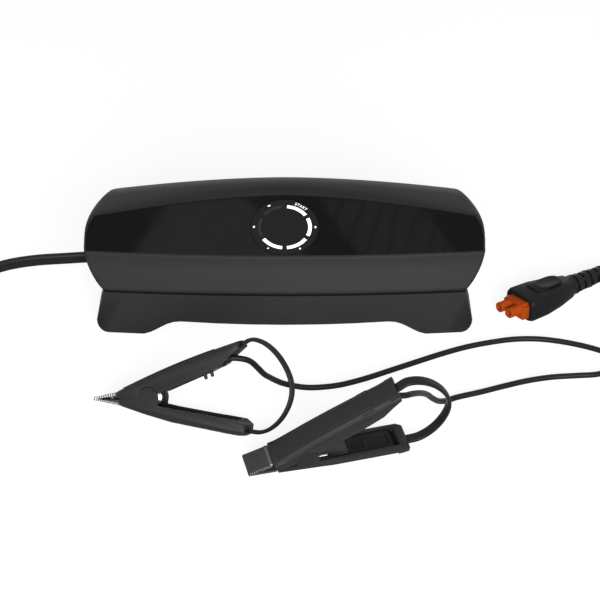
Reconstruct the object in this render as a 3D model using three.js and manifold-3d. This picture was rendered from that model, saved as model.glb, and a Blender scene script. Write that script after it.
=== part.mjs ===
// Battery charger for cars: a long moulded housing on a footed base, with a gloss display panel and a
// round push button, a mains lead, and a separate lead with a keyed connector and two spring clamps.
// Millimetres, +Z up. The charger faces -Y. All leads lie on the floor plane z = 0.
import * as THREE from 'three';
import { mergeVertices } from 'three/addons/utils/BufferGeometryUtils.js';
import Module from 'manifold-3d';

const wasm = await Module();
wasm.setup();

// Fits
const CLEARANCE = 0.3; // between pieces that seat on each other

// Housing
const WALL = 2.5; // moulded shell thickness
const LENGTH = 235; // widest, end to end
const SKIRT_FACE = 25.2; // front face of the base, along its slope
const SKIRT_LEAN = 80; // degrees from level
const BAND_FACE = 16.2; // broad band above the base
const BAND_LEAN = 62;
const COLLAR_FACE = 7.4; // narrow band under the panel
const COLLAR_LEAN = 80;
const PANEL_FACE = 45; // display panel, along its slope, in the middle
const PANEL_TAPER = 20; // how much less of it there is at the ends
const PANEL_LEAN = 26;
const ROOF_RISE = 2.4; // from the panel's top edge to the ridge
const ROOF_RUN = 10.5; // the same, front to back
const ROOF_FLATTER = 1.8; // how much less the ridge rises at the ends
const BACK_RUN = 30; // ridge to back wall
const BACK_WALL_TOP = 41.5; // height where the back wall turns into the roof
const FRONT_BOW = 6; // the front stands this much forward in the middle
const END_CENTRE_INSET = 42.5; // centre of the rounded end, from the end
const END_CENTRE_HEIGHT = 51.5;
const END_TOP = 17; // rounded end's half height above and below its centre
const END_BOTTOM = 38;
const END_SQUARE = 37; // in plan the ends are square to this depth, and rounded behind it
const END_DEEP = 61; // depth of that rounding, if the back wall didn't cut it
const SEAM_STEP = 0.8; // the base stands back this much under the housing

// Base
const BASE_TOP_INSET = 12.1; // end of the base's top edge, from the widest point
const BASE_FLARE_INSET = 7.4; // the same where it is widest
const FLARE_HEIGHT = 7.5;
const FOOT_RADIUS = 6.5;
const FOOT_INNER = 82.5; // foot's inner end, from the middle
const ARCH_START = 61;
const ARCH_HIGH = 8.5;
const ARCH_LOW = 7.3;
const FOOT_PROUD = 0.4; // rubber pads stand below the feet
const FLOOR_TOP = 11.2; // inner face of the base's floor

// Rubber pads
const PAD = { length: 12, width: 10, thickness: 2, fromEnd: 22.5, inset: 13 };

// Display
const PANEL_THICKNESS = 2.2;
const PANEL_SINK = 0.5; // panel's face below its surround
const PANEL_LEDGE = 2.5; // shelf that carries the panel
const PANEL_RIM = 1.3; // housing left round the panel's ends
const BUTTON_RADIUS = 20;
const BUTTON_THICKNESS = 1.6;
const BUTTON_TRAVEL = 0.6;
const BUTTON_ALONG = 21.6; // its centre, up the panel's slope
const PLUNGER = { radius: 5, length: 3 };
const RING_OUTER = 15.9; // ring of lights
const RING_INNER = 13.9;
const RING_GAP = 11; // degrees between two lights
const RING_COUNT = 6;
const LIGHT_DEPTH = 0.9;
const LIGHT_FIT = 0.12;
const DISPLAY_BOARD = { length: 70, width: 34, thickness: 1.6 };
const SWITCH = { size: 7, height: 2.2 };
const POST = { radius: 2, x: 30, y: 12 }; // carry the display's board

// Inside
const BOARD = { length: 160, width: 56, thickness: 1.6, height: 15.4, y: 46 };
const STANDOFF = { radius: 3, x: 70, y: 20 };
const BOSS = { radius: 4, bore: 1.8, x: 74, y: 14 };
const SCREW = { radius: 1.5, head: 3.4, headHeight: 2, length: 18 };
const TRANSFORMER = { length: 36, width: 30, height: 24, x: 28 };
const HEAT_SINK = { length: 62, width: 13, height: 24, x: -30, fins: 7, finThickness: 1.6, base: 3 };
const CAPACITOR = { radius: 8, length: 26, x: -62, y: 46 };
const CHOKE = { radius: 11, hole: 4.5, height: 10, x: 64, y: 40 };

// Output socket in the back wall
const SOCKET = { x: 46, z: 33, length: 24, height: 13, depth: 15, recess: [17.4, 8], recessDepth: 11.5 };
const CONTACT = { radius: 1.4, spacing: 8.4, length: 6 };

// Mains lead, a flat twin cord that stands on edge
const MAINS = { width: 7, thickness: 4, exitY: 45, exitZ: 28.8 };
const CHARGER_Y = -6; // where the charger's front foot line lies among the leads
const LEAD_Y = MAINS.exitY + CHARGER_Y;
const GROMMET = { width: 7.4, height: 10.4, proud: 2.4 };
const COIL = { x: -252, outer: 46, pitch: 4.5, layer: 7.5, turns: 6.25, climb: 0.5, dip: 2.4, steps: 24, sides: 6 };
const PLUG = { length: 34, width: 14, height: 13, noseWidth: 24, pinRadius: 2, pinLength: 19, pinSpacing: 17.8 };

// Clamps
const CLAMP = {
  length: 89, jaw: 16, pivotX: 32, pivotZ: 10.8, tipZ: 4.8, angle: 31.5, frontWidth: 16.8, rearWidth: 15.2,
  wall: 1.3, ear: 6, notchGap: 0.5, pin: 1.6, lug: 4.4, lugThickness: 1.6, outer: 10.4, bulge: 1.4,
};
const JAW = { plate: 1.1, teeth: 7, toothHeight: 0.7, inside: 6.5, tip: 0.9, tongue: 46, tongueWidth: 9 };
const SPRING = { radius: 4.1, wire: 0.6, turns: 3, halfWidth: 3.6, lowerLeg: 44, upperLeg: 26 };
const COVER = { from: CLAMP.length - 33, to: CLAMP.length - 6, front: 6.4, high: 7.6, recess: 1.8 };
const WIRE = 3.3; // single clamp wires
const JUMPER = { width: 5.5, thickness: 2.2 };
// How far down the gap between the arms' ends, and how far out, the jumper passes; in shares of that gap
const JUMPER_LOOP = [[-0.047, 0.119], [-0.004, 0.258], [0.112, 0.392], [0.279, 0.498], [0.453, 0.555], [0.604, 0.552], [0.754, 0.495], [0.892, 0.392], [0.987, 0.261], [1.02, 0.141]];
const CLAMPS = [
  { name: 'clamp_1', x: -102.9, y: -83.3, yaw: -20, roll: 26 },
  { name: 'clamp_2', x: -20.1, y: -144.9, yaw: 17.2, roll: -18 },
];

// Connector and its lead
const CONNECTOR = {
  x: 129.5, y: 11, yaw: 36, width: 24, height: 15, shellFrom: 12, shellTo: 50, insertWidth: 17,
  insertHeight: 9.5, tube: 3.1, bore: 1.7, tubeSpacing: 8.4,
};
const BOOT = { from: 6.4, to: 4.6, length: 34, ribs: 6, groove: 1.1 };
const TWIN = { width: 7, thickness: 3.6 };
const JUNCTION = { x: 214, y: -38, length: 20, width: 14, height: 6.4, taper: 9 };

const radians = THREE.MathUtils.degToRad;
const vec = (x, y, z) => new THREE.Vector3(x, y, z);

// Solids

function toSolid(geometry) {
  const bare = geometry.clone();
  bare.deleteAttribute('normal');
  bare.deleteAttribute('uv');
  const merged = mergeVertices(bare, 1e-4);
  return new wasm.Manifold(new wasm.Mesh({
    numProp: 3,
    vertProperties: new Float32Array(merged.attributes.position.array),
    triVerts: new Uint32Array(merged.index.array),
  }));
}

function toGeometry(solid) {
  const mesh = solid.getMesh();
  const geometry = new THREE.BufferGeometry();
  geometry.setAttribute('position', new THREE.BufferAttribute(new Float32Array(mesh.vertProperties), 3));
  geometry.setIndex(new THREE.BufferAttribute(new Uint32Array(mesh.triVerts), 1));
  return geometry;
}

const box = (length, width, height, x = 0, y = 0, z = 0) =>
  toSolid(new THREE.BoxGeometry(length, width, height).translate(x, y, z));

// A cylinder whose axis is 'x', 'y' or 'z', centred on a point.
function rod(axis, radius, length, x, y, z, sides = 32) {
  const geometry = new THREE.CylinderGeometry(radius, radius, length, sides);
  if (axis === 'x') geometry.rotateZ(Math.PI / 2);
  if (axis === 'z') geometry.rotateX(Math.PI / 2);
  return toSolid(geometry.translate(x, y, z));
}

const union = (...solids) => solids.reduce((all, next) => all.add(next));

// Outline in X and Z, extruded from one y to another.
function prismXZ(outline, fromY, toY) {
  const shape = new THREE.Shape(outline.map(([x, z]) => new THREE.Vector2(x, z)));
  const geometry = new THREE.ExtrudeGeometry(shape, { depth: toY - fromY, bevelEnabled: false, curveSegments: 1 });
  return toSolid(geometry.rotateX(Math.PI / 2).translate(0, toY, 0));
}

// Closed skin through rings of points, with flat ends. Every ring has the same number of points.
function loft(rings) {
  const count = rings[0].length;
  const points = rings.flat();
  const index = [];
  for (let i = 0; i + 1 < rings.length; i++) {
    for (let j = 0; j < count; j++) {
      const a = i * count + j;
      const b = i * count + (j + 1) % count;
      index.push(a, b, a + count, b, b + count, a + count);
    }
  }
  const lastStart = (rings.length - 1) * count;
  capTriangles(rings[0]).forEach(([a, b, c]) => index.push(a, c, b));
  capTriangles(rings[rings.length - 1]).forEach(([a, b, c]) => index.push(lastStart + a, lastStart + b, lastStart + c));
  if (signedVolume(points, index) < 0) {
    for (let i = 0; i < index.length; i += 3) [index[i], index[i + 1]] = [index[i + 1], index[i]];
  }
  const geometry = new THREE.BufferGeometry().setFromPoints(points);
  geometry.setIndex(index);
  return geometry;
}

// The triangles of a flat ring, turned so that their order runs with the ring's own.
function capTriangles(ring) {
  const normal = vec(0, 0, 0);
  ring.forEach((p, i) => normal.add(p.clone().cross(ring[(i + 1) % ring.length])));
  normal.normalize();
  const across = Math.abs(normal.z) < 0.9 ? vec(0, 0, 1).cross(normal) : vec(1, 0, 0).cross(normal);
  across.normalize();
  const along = normal.clone().cross(across);
  const flat = ring.map((p) => new THREE.Vector2(p.dot(across), p.dot(along)));
  return THREE.ShapeUtils.triangulateShape(flat, []);
}

function signedVolume(points, index) {
  let total = 0;
  for (let i = 0; i < index.length; i += 3) {
    total += points[index[i]].dot(points[index[i + 1]].clone().cross(points[index[i + 2]]));
  }
  return total;
}

// Moves a polygon's sides inwards by a distance; its corners stay mitred.
function insetPolygon(points, distance) {
  const area = points.reduce((sum, [x, y], i) => {
    const [nx, ny] = points[(i + 1) % points.length];
    return sum + x * ny - nx * y;
  }, 0);
  const side = Math.sign(area) * distance;
  return points.map((point, i) => {
    const before = points[(i + points.length - 1) % points.length];
    const after = points[(i + 1) % points.length];
    const [ax, ay] = unit(point[0] - before[0], point[1] - before[1]);
    const [bx, by] = unit(after[0] - point[0], after[1] - point[1]);
    const scale = side / Math.max(0.2, 1 + ax * bx + ay * by);
    return [point[0] - (ay + by) * scale, point[1] + (ax + bx) * scale];
  });
}

function unit(x, y) {
  const size = Math.hypot(x, y);
  return [x / size, y / size];
}

// Straight lines through chosen [place, value] pairs.
function along(pairs, place) {
  const next = pairs.findIndex(([at]) => at >= place);
  if (next <= 0) return (next === 0 ? pairs[0] : pairs[pairs.length - 1])[1];
  const [[a, va], [b, vb]] = [pairs[next - 1], pairs[next]];
  return va + (vb - va) * (place - a) / (b - a);
}

const spread = (from, to, count) => Array.from({ length: count + 1 }, (_, i) => from + (to - from) * i / count);

// Flat cord: an oval section with one size along a given direction and the other across it.
function flatCord(points, sizeAlong, sizeAcross, direction, sides = 8) {
  const rings = points.map((point, i) => {
    const ahead = points[Math.min(i + 1, points.length - 1)].clone().sub(points[Math.max(i - 1, 0)]).normalize();
    const cross = ahead.clone().cross(direction).normalize();
    const level = cross.clone().cross(ahead).normalize();
    return spread(0, 2 * Math.PI, sides).slice(0, sides).map((angle) => point.clone()
      .addScaledVector(level, Math.cos(angle) * sizeAlong / 2)
      .addScaledVector(cross, Math.sin(angle) * sizeAcross / 2));
  });
  return loft(rings);
}

function roundCord(points, diameter, steps, sides = 8) {
  const section = new THREE.Shape(spread(0, 2 * Math.PI, sides).slice(0, sides).map((angle) =>
    new THREE.Vector2(Math.cos(angle) * diameter / 2, Math.sin(angle) * diameter / 2)));
  const path = new THREE.CatmullRomCurve3(points, false, 'centripetal');
  return new THREE.ExtrudeGeometry(section, { steps, extrudePath: path, bevelEnabled: false, curveSegments: 1 });
}

const smooth = (points, count) => new THREE.CatmullRomCurve3(points, false, 'centripetal').getSpacedPoints(count);

// Prints the least gap between turns of a wound cord. Points nearer each other than apart along it are left out.
function printLeastGap(name, points, apart, gap) {
  const least = Math.min(...points.flatMap((p, i) => points.slice(i + apart).map((q) => gap(p, q))));
  console.log(`${name}: least gap between turns ${least.toFixed(2)} mm`);
}

// Scene graph

const finishes = {
  housing: new THREE.MeshStandardMaterial({ color: 0x2f2f30, roughness: 0.55 }),
  gloss: new THREE.MeshStandardMaterial({ color: 0x050506, roughness: 0.06 }),
  button: new THREE.MeshStandardMaterial({ color: 0x1d1d1e, roughness: 0.4 }),
  lit: new THREE.MeshStandardMaterial({ color: 0xffffff, emissive: 0xffffff, roughness: 0.4 }),
  unlit: new THREE.MeshStandardMaterial({ color: 0x2a2a2b, roughness: 0.4 }),
  rubber: new THREE.MeshStandardMaterial({ color: 0x161616, roughness: 0.8 }),
  cord: new THREE.MeshStandardMaterial({ color: 0x1b1b1c, roughness: 0.5 }),
  clamp: new THREE.MeshStandardMaterial({ color: 0x262627, roughness: 0.5 }),
  steel: new THREE.MeshStandardMaterial({ color: 0xb9babc, roughness: 0.3, metalness: 1 }),
  brass: new THREE.MeshStandardMaterial({ color: 0xc8a55a, roughness: 0.3, metalness: 1 }),
  orange: new THREE.MeshStandardMaterial({ color: 0xc4521a, roughness: 0.45 }),
  board: new THREE.MeshStandardMaterial({ color: 0x1f5a35, roughness: 0.6 }),
  aluminium: new THREE.MeshStandardMaterial({ color: 0xa9acaf, roughness: 0.4, metalness: 1 }),
  ferrite: new THREE.MeshStandardMaterial({ color: 0x3a3735, roughness: 0.8 }),
  sleeve: new THREE.MeshStandardMaterial({ color: 0x26324f, roughness: 0.5 }),
};

const layout = new THREE.Group();
const charger = new THREE.Group();
charger.position.y = CHARGER_Y;
layout.add(charger);
const leads = new THREE.Group(); // free leads and what hangs on them
layout.add(leads);

// Adds a solid or a geometry to a group as one named piece.
function piece(name, shape, finish, group = charger) {
  const geometry = shape.getMesh ? toGeometry(shape) : shape;
  const mesh = new THREE.Mesh(geometry, finishes[finish]);
  mesh.name = name;
  group.add(mesh);
  return mesh;
}

// Housing profile, in [y, z], at a distance x from the middle

const slope = (degrees, length) => [Math.cos(radians(degrees)) * length, Math.sin(radians(degrees)) * length];
const [SKIRT_DY, SKIRT_DZ] = slope(SKIRT_LEAN, SKIRT_FACE);
const [BAND_DY, BAND_DZ] = slope(BAND_LEAN, BAND_FACE);
const [COLLAR_DY, COLLAR_DZ] = slope(COLLAR_LEAN, COLLAR_FACE);
const PANEL_Y = SKIRT_DY + BAND_DY + COLLAR_DY;
const PANEL_Z = SKIRT_DZ + BAND_DZ + COLLAR_DZ;
const SEAM_Z = SKIRT_DZ;
const RIDGE_Y = PANEL_Y + slope(PANEL_LEAN, PANEL_FACE)[0] + ROOF_RUN;
const BACK_Y = RIDGE_Y + BACK_RUN;
const HALF = LENGTH / 2;

const bow = (x) => FRONT_BOW * (x / HALF) ** 2;
const panelFace = (x) => PANEL_FACE - PANEL_TAPER * Math.min(1, Math.abs(x) / HALF) ** 1.7;
const ridgeHeight = (x) => PANEL_Z + slope(PANEL_LEAN, panelFace(x))[1] + ROOF_RISE - ROOF_FLATTER * (x / HALF) ** 2;

function housingProfile(x) {
  const front = bow(x);
  const [panelDy, panelDz] = slope(PANEL_LEAN, panelFace(x));
  const panelTop = [front + PANEL_Y + panelDy, PANEL_Z + panelDz];
  const ridge = [RIDGE_Y, ridgeHeight(x)];
  const rise = ridge[1] - panelTop[1];
  const bend = [panelTop[0] + rise / Math.tan(radians(PANEL_LEAN + 14)), ridge[1]];
  const roof = new THREE.QuadraticBezierCurve(
    new THREE.Vector2(...panelTop), new THREE.Vector2(...bend), new THREE.Vector2(...ridge));
  const back = BACK_Y - front / 2;
  const run = back - RIDGE_Y;
  const rear = spread(0, Math.PI / 2, 5).slice(1).map((angle) => [
    RIDGE_Y + run * Math.sin(angle),
    BACK_WALL_TOP + (ridge[1] - BACK_WALL_TOP) * Math.cos(angle),
  ]);
  return [
    [front + SKIRT_DY, SEAM_Z],
    [front + SKIRT_DY + BAND_DY, SEAM_Z + BAND_DZ],
    [front + PANEL_Y, PANEL_Z],
    ...roof.getPoints(3).map((p) => [p.x, p.y]),
    ...rear,
    [back, SEAM_Z],
  ];
}

function baseProfile(x) {
  const front = bow(x);
  const back = BACK_Y - front / 2;
  return [
    [front, 0],
    [front + SKIRT_DY + SEAM_STEP, SEAM_Z],
    [back - SEAM_STEP, SEAM_Z],
    [back + 1.5, 0],
  ];
}

const STATIONS = spread(-HALF - 2, HALF + 2, 18);

// A length of a profile, worked out at each station, with the profile moved inwards.
function extrusion(profile, inset, lower = 0) {
  return toSolid(loft(STATIONS.map((x) => {
    const section = insetPolygon(profile(x), inset);
    const bottom = Math.min(...section.map(([, z]) => z));
    return section.map(([y, z]) => vec(x, y, z < bottom + 1 ? z - lower : z));
  })));
}

// Outline of the housing's rounded ends, in [x, z].
function housingOutline() {
  const centre = HALF - END_CENTRE_INSET;
  const quarter = (from, to, height) => spread(from, to, 7).map((angle) => [
    centre + END_CENTRE_INSET * Math.cos(angle), END_CENTRE_HEIGHT + height * Math.sin(angle)]);
  const right = [
    ...quarter(-Math.PI * 0.37, 0, END_BOTTOM).slice(0, -1),
    ...quarter(0, Math.PI / 2, END_TOP),
    [centre - 6, END_CENTRE_HEIGHT + END_TOP + 8],
  ];
  return [...right, ...right.map(([x, z]) => [-x, z]).reverse()];
}

// Outline of the base: flared ends, rounded feet and a shallow arch between them.
function baseOutline(lift = FOOT_PROUD) {
  const flareX = HALF - BASE_FLARE_INSET;
  const arch = new THREE.CubicBezierCurve(
    new THREE.Vector2(ARCH_START, ARCH_HIGH), new THREE.Vector2(ARCH_START + 9, ARCH_HIGH),
    new THREE.Vector2(FOOT_INNER - 8, lift + 1.6), new THREE.Vector2(FOOT_INNER, lift));
  const middle = spread(0, ARCH_START, 3).map((x) => [x, ARCH_LOW + (ARCH_HIGH - ARCH_LOW) * (x / ARCH_START) ** 2]);
  const corner = spread(-Math.PI / 2, 0, 5).map((angle) => [
    flareX - FOOT_RADIUS + FOOT_RADIUS * Math.cos(angle), lift + FLARE_HEIGHT + FLARE_HEIGHT * Math.sin(angle)]);
  const right = [
    ...middle,
    ...arch.getPoints(6).slice(1).map((p) => [p.x, p.y]),
    ...corner,
    [HALF - BASE_TOP_INSET, SEAM_Z + 1],
  ];
  return [...right, ...right.slice(1).map(([x, z]) => [-x, z]).reverse()];
}

const SQUARE_END = HALF - END_CENTRE_INSET;
const DEPTHS = [-20, END_SQUARE, 56, 69, 79, 87, BACK_Y + 1.6];

// How far the ends still reach at a depth, as a share of what they reach at the front.
const endShare = (y) => Math.sqrt(1 - (Math.max(0, y - END_SQUARE) / END_DEEP) ** 2);

const towardsMiddle = (x, y) => Math.sign(x) * (Math.min(Math.abs(x), SQUARE_END)
  + Math.max(0, Math.abs(x) - SQUARE_END) * endShare(y));

// An outline in [x, z] that runs from the front to the back and narrows as the ends do.
const endShape = (outline) => toSolid(loft(DEPTHS.map((y) => outline.map(([x, z]) => vec(towardsMiddle(x, y), y, z)))));

function bossPlaces() {
  return [-1, 1].flatMap((side) => [BOSS.y + 4, BACK_Y - BOSS.y].map((y) => [side * BOSS.x, y]));
}

// Slab that follows the panel's slope, from one depth under its surround to another.
function panelSlab(from, to, lowerGap, upperGap) {
  const [dy, dz] = slope(PANEL_LEAN, 1);
  return toSolid(loft(STATIONS.map((x) => {
    const at = (distance, depth) => vec(
      x,
      bow(x) + PANEL_Y + dy * distance + dz * depth,
      PANEL_Z + dz * distance - dy * depth,
    );
    const end = panelFace(x) - upperGap;
    return [at(lowerGap, from), at(end, from), at(end, to), at(lowerGap, to)];
  })));
}

const panelEnds = (inset) => endShape(insetPolygon(housingOutline(), inset));

// Depths under the display's face: the shelf's underside, the pressed plunger's end and its board's face
const SHELF_UNDERSIDE = -(PANEL_SINK + PANEL_THICKNESS + CLEARANCE + PANEL_LEDGE);
const PLUNGER_END = -PANEL_SINK - BUTTON_THICKNESS - PLUNGER.length + 0.2;
const BOARD_FACE = PLUNGER_END - BUTTON_TRAVEL - SWITCH.height - 2 * CLEARANCE;

// Puts a solid made flat on the display, with +Z out of it, in its place in the housing.
function onDisplay(solid) {
  const [dy, dz] = slope(PANEL_LEAN, BUTTON_ALONG);
  return solid.rotate([PANEL_LEAN, 0, 0]).translate([0, PANEL_Y + dy, PANEL_Z + dz]);
}

function buildHousing() {
  const outer = extrusion(housingProfile, 0).intersect(endShape(housingOutline()));
  const inner = extrusion(housingProfile, WALL, 3 * WALL)
    .intersect(endShape(insetPolygon(housingOutline(), WALL)));
  const shelfTop = PANEL_SINK + PANEL_THICKNESS + CLEARANCE;
  const shelf = panelSlab(shelfTop - 1, shelfTop + PANEL_LEDGE, -WALL, -WALL).intersect(outer);
  const postLength = SHELF_UNDERSIDE - BOARD_FACE - CLEARANCE + 1;
  const posts = [-1, 1].flatMap((side) => [-1, 1].map((end) => onDisplay(rod('z', POST.radius, postLength,
    side * POST.x, end * POST.y, BOARD_FACE + CLEARANCE + postLength / 2, 10))));
  const bosses = bossPlaces().map(([x, y]) =>
    rod('z', BOSS.radius, 60, x, y, FLOOR_TOP + CLEARANCE + 30, 12).intersect(outer));
  const socketHole = box(SOCKET.length + 2 * CLEARANCE, 3 * SOCKET.depth, SOCKET.height + 2 * CLEARANCE,
    SOCKET.x, BACK_Y, SOCKET.z);
  let shell = union(outer.subtract(inner), shelf, ...bosses, ...posts);
  shell = shell.subtract(panelSlab(-9, shelfTop, SEAM_STEP, 0.2).intersect(panelEnds(PANEL_RIM)));
  shell = shell.subtract(onDisplay(rod('z', BUTTON_RADIUS - 2, 30, 0, 0, 0, 32)));
  shell = shell.subtract(socketHole).subtract(grommetBlock(CLEARANCE));
  bossPlaces().forEach(([x, y]) => {
    shell = shell.subtract(rod('z', BOSS.bore, SCREW.length, x, y, FLOOR_TOP + SCREW.length / 2, 8));
  });
  piece('upper_housing', shell, 'housing');
}

function buildBase() {
  const outline = baseOutline();
  const outer = extrusion(baseProfile, 0).intersect(endShape(outline))
    .intersect(box(400, 400, SEAM_Z - CLEARANCE, 0, 0, (SEAM_Z - CLEARANCE) / 2));
  const inner = extrusion(baseProfile, WALL).intersect(endShape(insetPolygon(outline, WALL)))
    .intersect(box(400, 400, 60, 0, 0, FLOOR_TOP + 30));
  let tray = outer.subtract(inner.add(inner.translate([0, 0, 3])));
  standoffPlaces().forEach(([x, y]) => {
    const height = BOARD.height - CLEARANCE - FLOOR_TOP + 1;
    tray = tray.add(rod('z', STANDOFF.radius, height, x, y, FLOOR_TOP - 1 + height / 2, 12));
  });
  padPlaces().forEach(([x, y]) => {
    const recess = PAD.thickness + CLEARANCE;
    tray = tray.subtract(box(PAD.length + 2 * CLEARANCE, PAD.width + 2 * CLEARANCE, 2 * recess, x, y, 0));
  });
  bossPlaces().forEach(([x, y]) => {
    tray = tray.subtract(rod('z', SCREW.radius + CLEARANCE, 30, x, y, 10, 10));
    tray = tray.subtract(rod('z', SCREW.head + CLEARANCE, 10, x, y, SCREW_HEAD_TOP - 5 + CLEARANCE, 14));
  });
  piece('base_tray', tray.subtract(grommetBlock(CLEARANCE)), 'housing');
}

const SCREW_HEAD_TOP = 6;

function buildScrews() {
  bossPlaces().forEach(([x, y], i) => {
    const head = rod('z', SCREW.head, SCREW.headHeight, x, y, SCREW_HEAD_TOP - SCREW.headHeight / 2, 14);
    const shank = rod('z', SCREW.radius, SCREW.length, x, y, SCREW_HEAD_TOP + SCREW.length / 2 - 0.5, 8);
    const drive = box(1, 4, 1.6, x, y, SCREW_HEAD_TOP - SCREW.headHeight);
    piece(`housing_screw_${i + 1}`, head.add(shank).subtract(drive), 'steel');
  });
}

const padPlaces = () => [-1, 1].flatMap((side) => [PAD.inset, BACK_Y - PAD.inset].map((y) =>
  [towardsMiddle(side * (HALF - PAD.fromEnd), y), y]));

function buildPads() {
  padPlaces().forEach(([x, y], i) => {
    const half = [PAD.length / 2, PAD.width / 2];
    const round = 2.5;
    const shape = new THREE.Shape();
    shape.moveTo(-half[0] + round, -half[1]);
    shape.lineTo(half[0] - round, -half[1]);
    shape.absarc(half[0] - round, -half[1] + round, round, -Math.PI / 2, 0);
    shape.absarc(half[0] - round, half[1] - round, round, 0, Math.PI / 2);
    shape.absarc(-half[0] + round, half[1] - round, round, Math.PI / 2, Math.PI);
    shape.absarc(-half[0] + round, -half[1] + round, round, Math.PI, 1.5 * Math.PI);
    const geometry = new THREE.ExtrudeGeometry(shape, { depth: PAD.thickness, bevelEnabled: false, curveSegments: 3 });
    piece(`rubber_pad_${i + 1}`, geometry.translate(x, y, 0), 'rubber');
  });
}

function buildDisplay() {
  const hole = onDisplay(rod('z', BUTTON_RADIUS + CLEARANCE, 30, 0, 0, 0, 48));
  const panel = panelSlab(PANEL_SINK, PANEL_SINK + PANEL_THICKNESS, SEAM_STEP + CLEARANCE, 0.2 + CLEARANCE)
    .intersect(panelEnds(PANEL_RIM + CLEARANCE)).subtract(hole);
  piece('gloss_panel', panel, 'gloss');

  const face = -PANEL_SINK;
  const disc = rod('z', BUTTON_RADIUS, BUTTON_THICKNESS, 0, 0, face - BUTTON_THICKNESS / 2, 48);
  const plunger = rod('z', PLUNGER.radius, PLUNGER.length, 0, 0, face - BUTTON_THICKNESS - PLUNGER.length / 2 + 0.2, 24);
  let button = disc.add(plunger);
  lightSectors(LIGHT_FIT).forEach((sector) => {
    button = button.subtract(sector.translate([0, 0, face]));
  });
  piece('start_button', onDisplay(button), 'button');
  lightSectors(0).forEach((sector, i) => {
    const lit = i < 4;
    piece(`ring_light_${i + 1}`, onDisplay(sector.translate([0, 0, face])), lit ? 'lit' : 'unlit');
  });

  const board = box(DISPLAY_BOARD.length, DISPLAY_BOARD.width, DISPLAY_BOARD.thickness,
    0, 0, BOARD_FACE - DISPLAY_BOARD.thickness / 2);
  piece('display_board', onDisplay(board), 'board');
  piece('button_switch', onDisplay(box(SWITCH.size, SWITCH.size, SWITCH.height,
    0, 0, BOARD_FACE + CLEARANCE + SWITCH.height / 2)), 'unlit');
}

// The six lights as solids under the display's face, clockwise from the top.
function lightSectors(grow) {
  const span = 360 / RING_COUNT - RING_GAP;
  return Array.from({ length: RING_COUNT }, (_, i) => {
    const middle = 90 - (i + 0.5) * 360 / RING_COUNT;
    const extra = THREE.MathUtils.radToDeg(grow / RING_OUTER);
    const from = radians(middle - span / 2 - extra);
    const to = radians(middle + span / 2 + extra);
    const shape = new THREE.Shape();
    shape.absarc(0, 0, RING_OUTER + grow, from, to, false);
    shape.absarc(0, 0, RING_INNER - grow, to, from, true);
    const depth = LIGHT_DEPTH + grow + 5 * (grow > 0);
    const geometry = new THREE.ExtrudeGeometry(shape, { depth, bevelEnabled: false, curveSegments: 5 });
    return toSolid(geometry.translate(0, 0, -LIGHT_DEPTH - grow));
  });
}

const standoffPlaces = () => [-1, 1].flatMap((side) => [-1, 1].map((end) =>
  [side * STANDOFF.x, BOARD.y + end * STANDOFF.y]));

function buildElectronics() {
  const top = BOARD.height + BOARD.thickness;
  const seat = top + CLEARANCE;
  piece('main_board', box(BOARD.length, BOARD.width, BOARD.thickness, 0, BOARD.y, BOARD.height + BOARD.thickness / 2)
    .subtract(union(...bossPlaces().map(([x, y]) => rod('z', BOSS.radius + 1, 20, x, y, top, 12)))), 'board');

  const core = box(TRANSFORMER.length, TRANSFORMER.width * 0.55, TRANSFORMER.height, TRANSFORMER.x, BOARD.y + 4,
    seat + TRANSFORMER.height / 2);
  const winding = rod('z', TRANSFORMER.width / 2, TRANSFORMER.height * 0.7, TRANSFORMER.x, BOARD.y + 4,
    seat + TRANSFORMER.height / 2, 24);
  piece('transformer', core.add(winding), 'ferrite');

  let sink = box(HEAT_SINK.length, HEAT_SINK.base, HEAT_SINK.height, HEAT_SINK.x, BOARD.y + 18, seat + HEAT_SINK.height / 2);
  spread(-0.5, 0.5, HEAT_SINK.fins - 1).forEach((share) => {
    const x = HEAT_SINK.x + share * (HEAT_SINK.length - HEAT_SINK.finThickness);
    sink = sink.add(box(HEAT_SINK.finThickness, HEAT_SINK.width, HEAT_SINK.height, x,
      BOARD.y + 18 - HEAT_SINK.width / 2, seat + HEAT_SINK.height / 2));
  });
  piece('heat_sink', sink, 'aluminium');

  piece('smoothing_capacitor', rod('x', CAPACITOR.radius, CAPACITOR.length, CAPACITOR.x, CAPACITOR.y - 14,
    seat + CAPACITOR.radius, 24), 'sleeve');
  piece('output_choke', rod('z', CHOKE.radius, CHOKE.height, CHOKE.x, CHOKE.y, seat + CHOKE.height / 2, 20)
    .subtract(rod('z', CHOKE.hole, 2 * CHOKE.height, CHOKE.x, CHOKE.y, seat, 16)), 'ferrite');
}

function buildSocket() {
  const [width, height] = SOCKET.recess;
  const back = BACK_Y - bow(SOCKET.x) / 2;
  const block = box(SOCKET.length, SOCKET.depth, SOCKET.height, SOCKET.x, back - SOCKET.depth / 2, SOCKET.z);
  const recess = box(width, 2 * SOCKET.recessDepth, height, SOCKET.x, back, SOCKET.z);
  const contacts = [-1, 1].map((side) => rod('y', CONTACT.radius, CONTACT.length, SOCKET.x + side * CONTACT.spacing / 2,
    back - SOCKET.recessDepth + CONTACT.length / 2 - 1, SOCKET.z, 12));
  piece('output_socket', union(block.subtract(recess), ...contacts), 'unlit');
}

// Where the mains lead leaves the housing's left end.
function endWallX(z) {
  const drop = (END_CENTRE_HEIGHT - z) / END_BOTTOM;
  return towardsMiddle(-SQUARE_END - END_CENTRE_INSET * Math.sqrt(1 - drop * drop), MAINS.exitY);
}

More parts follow.
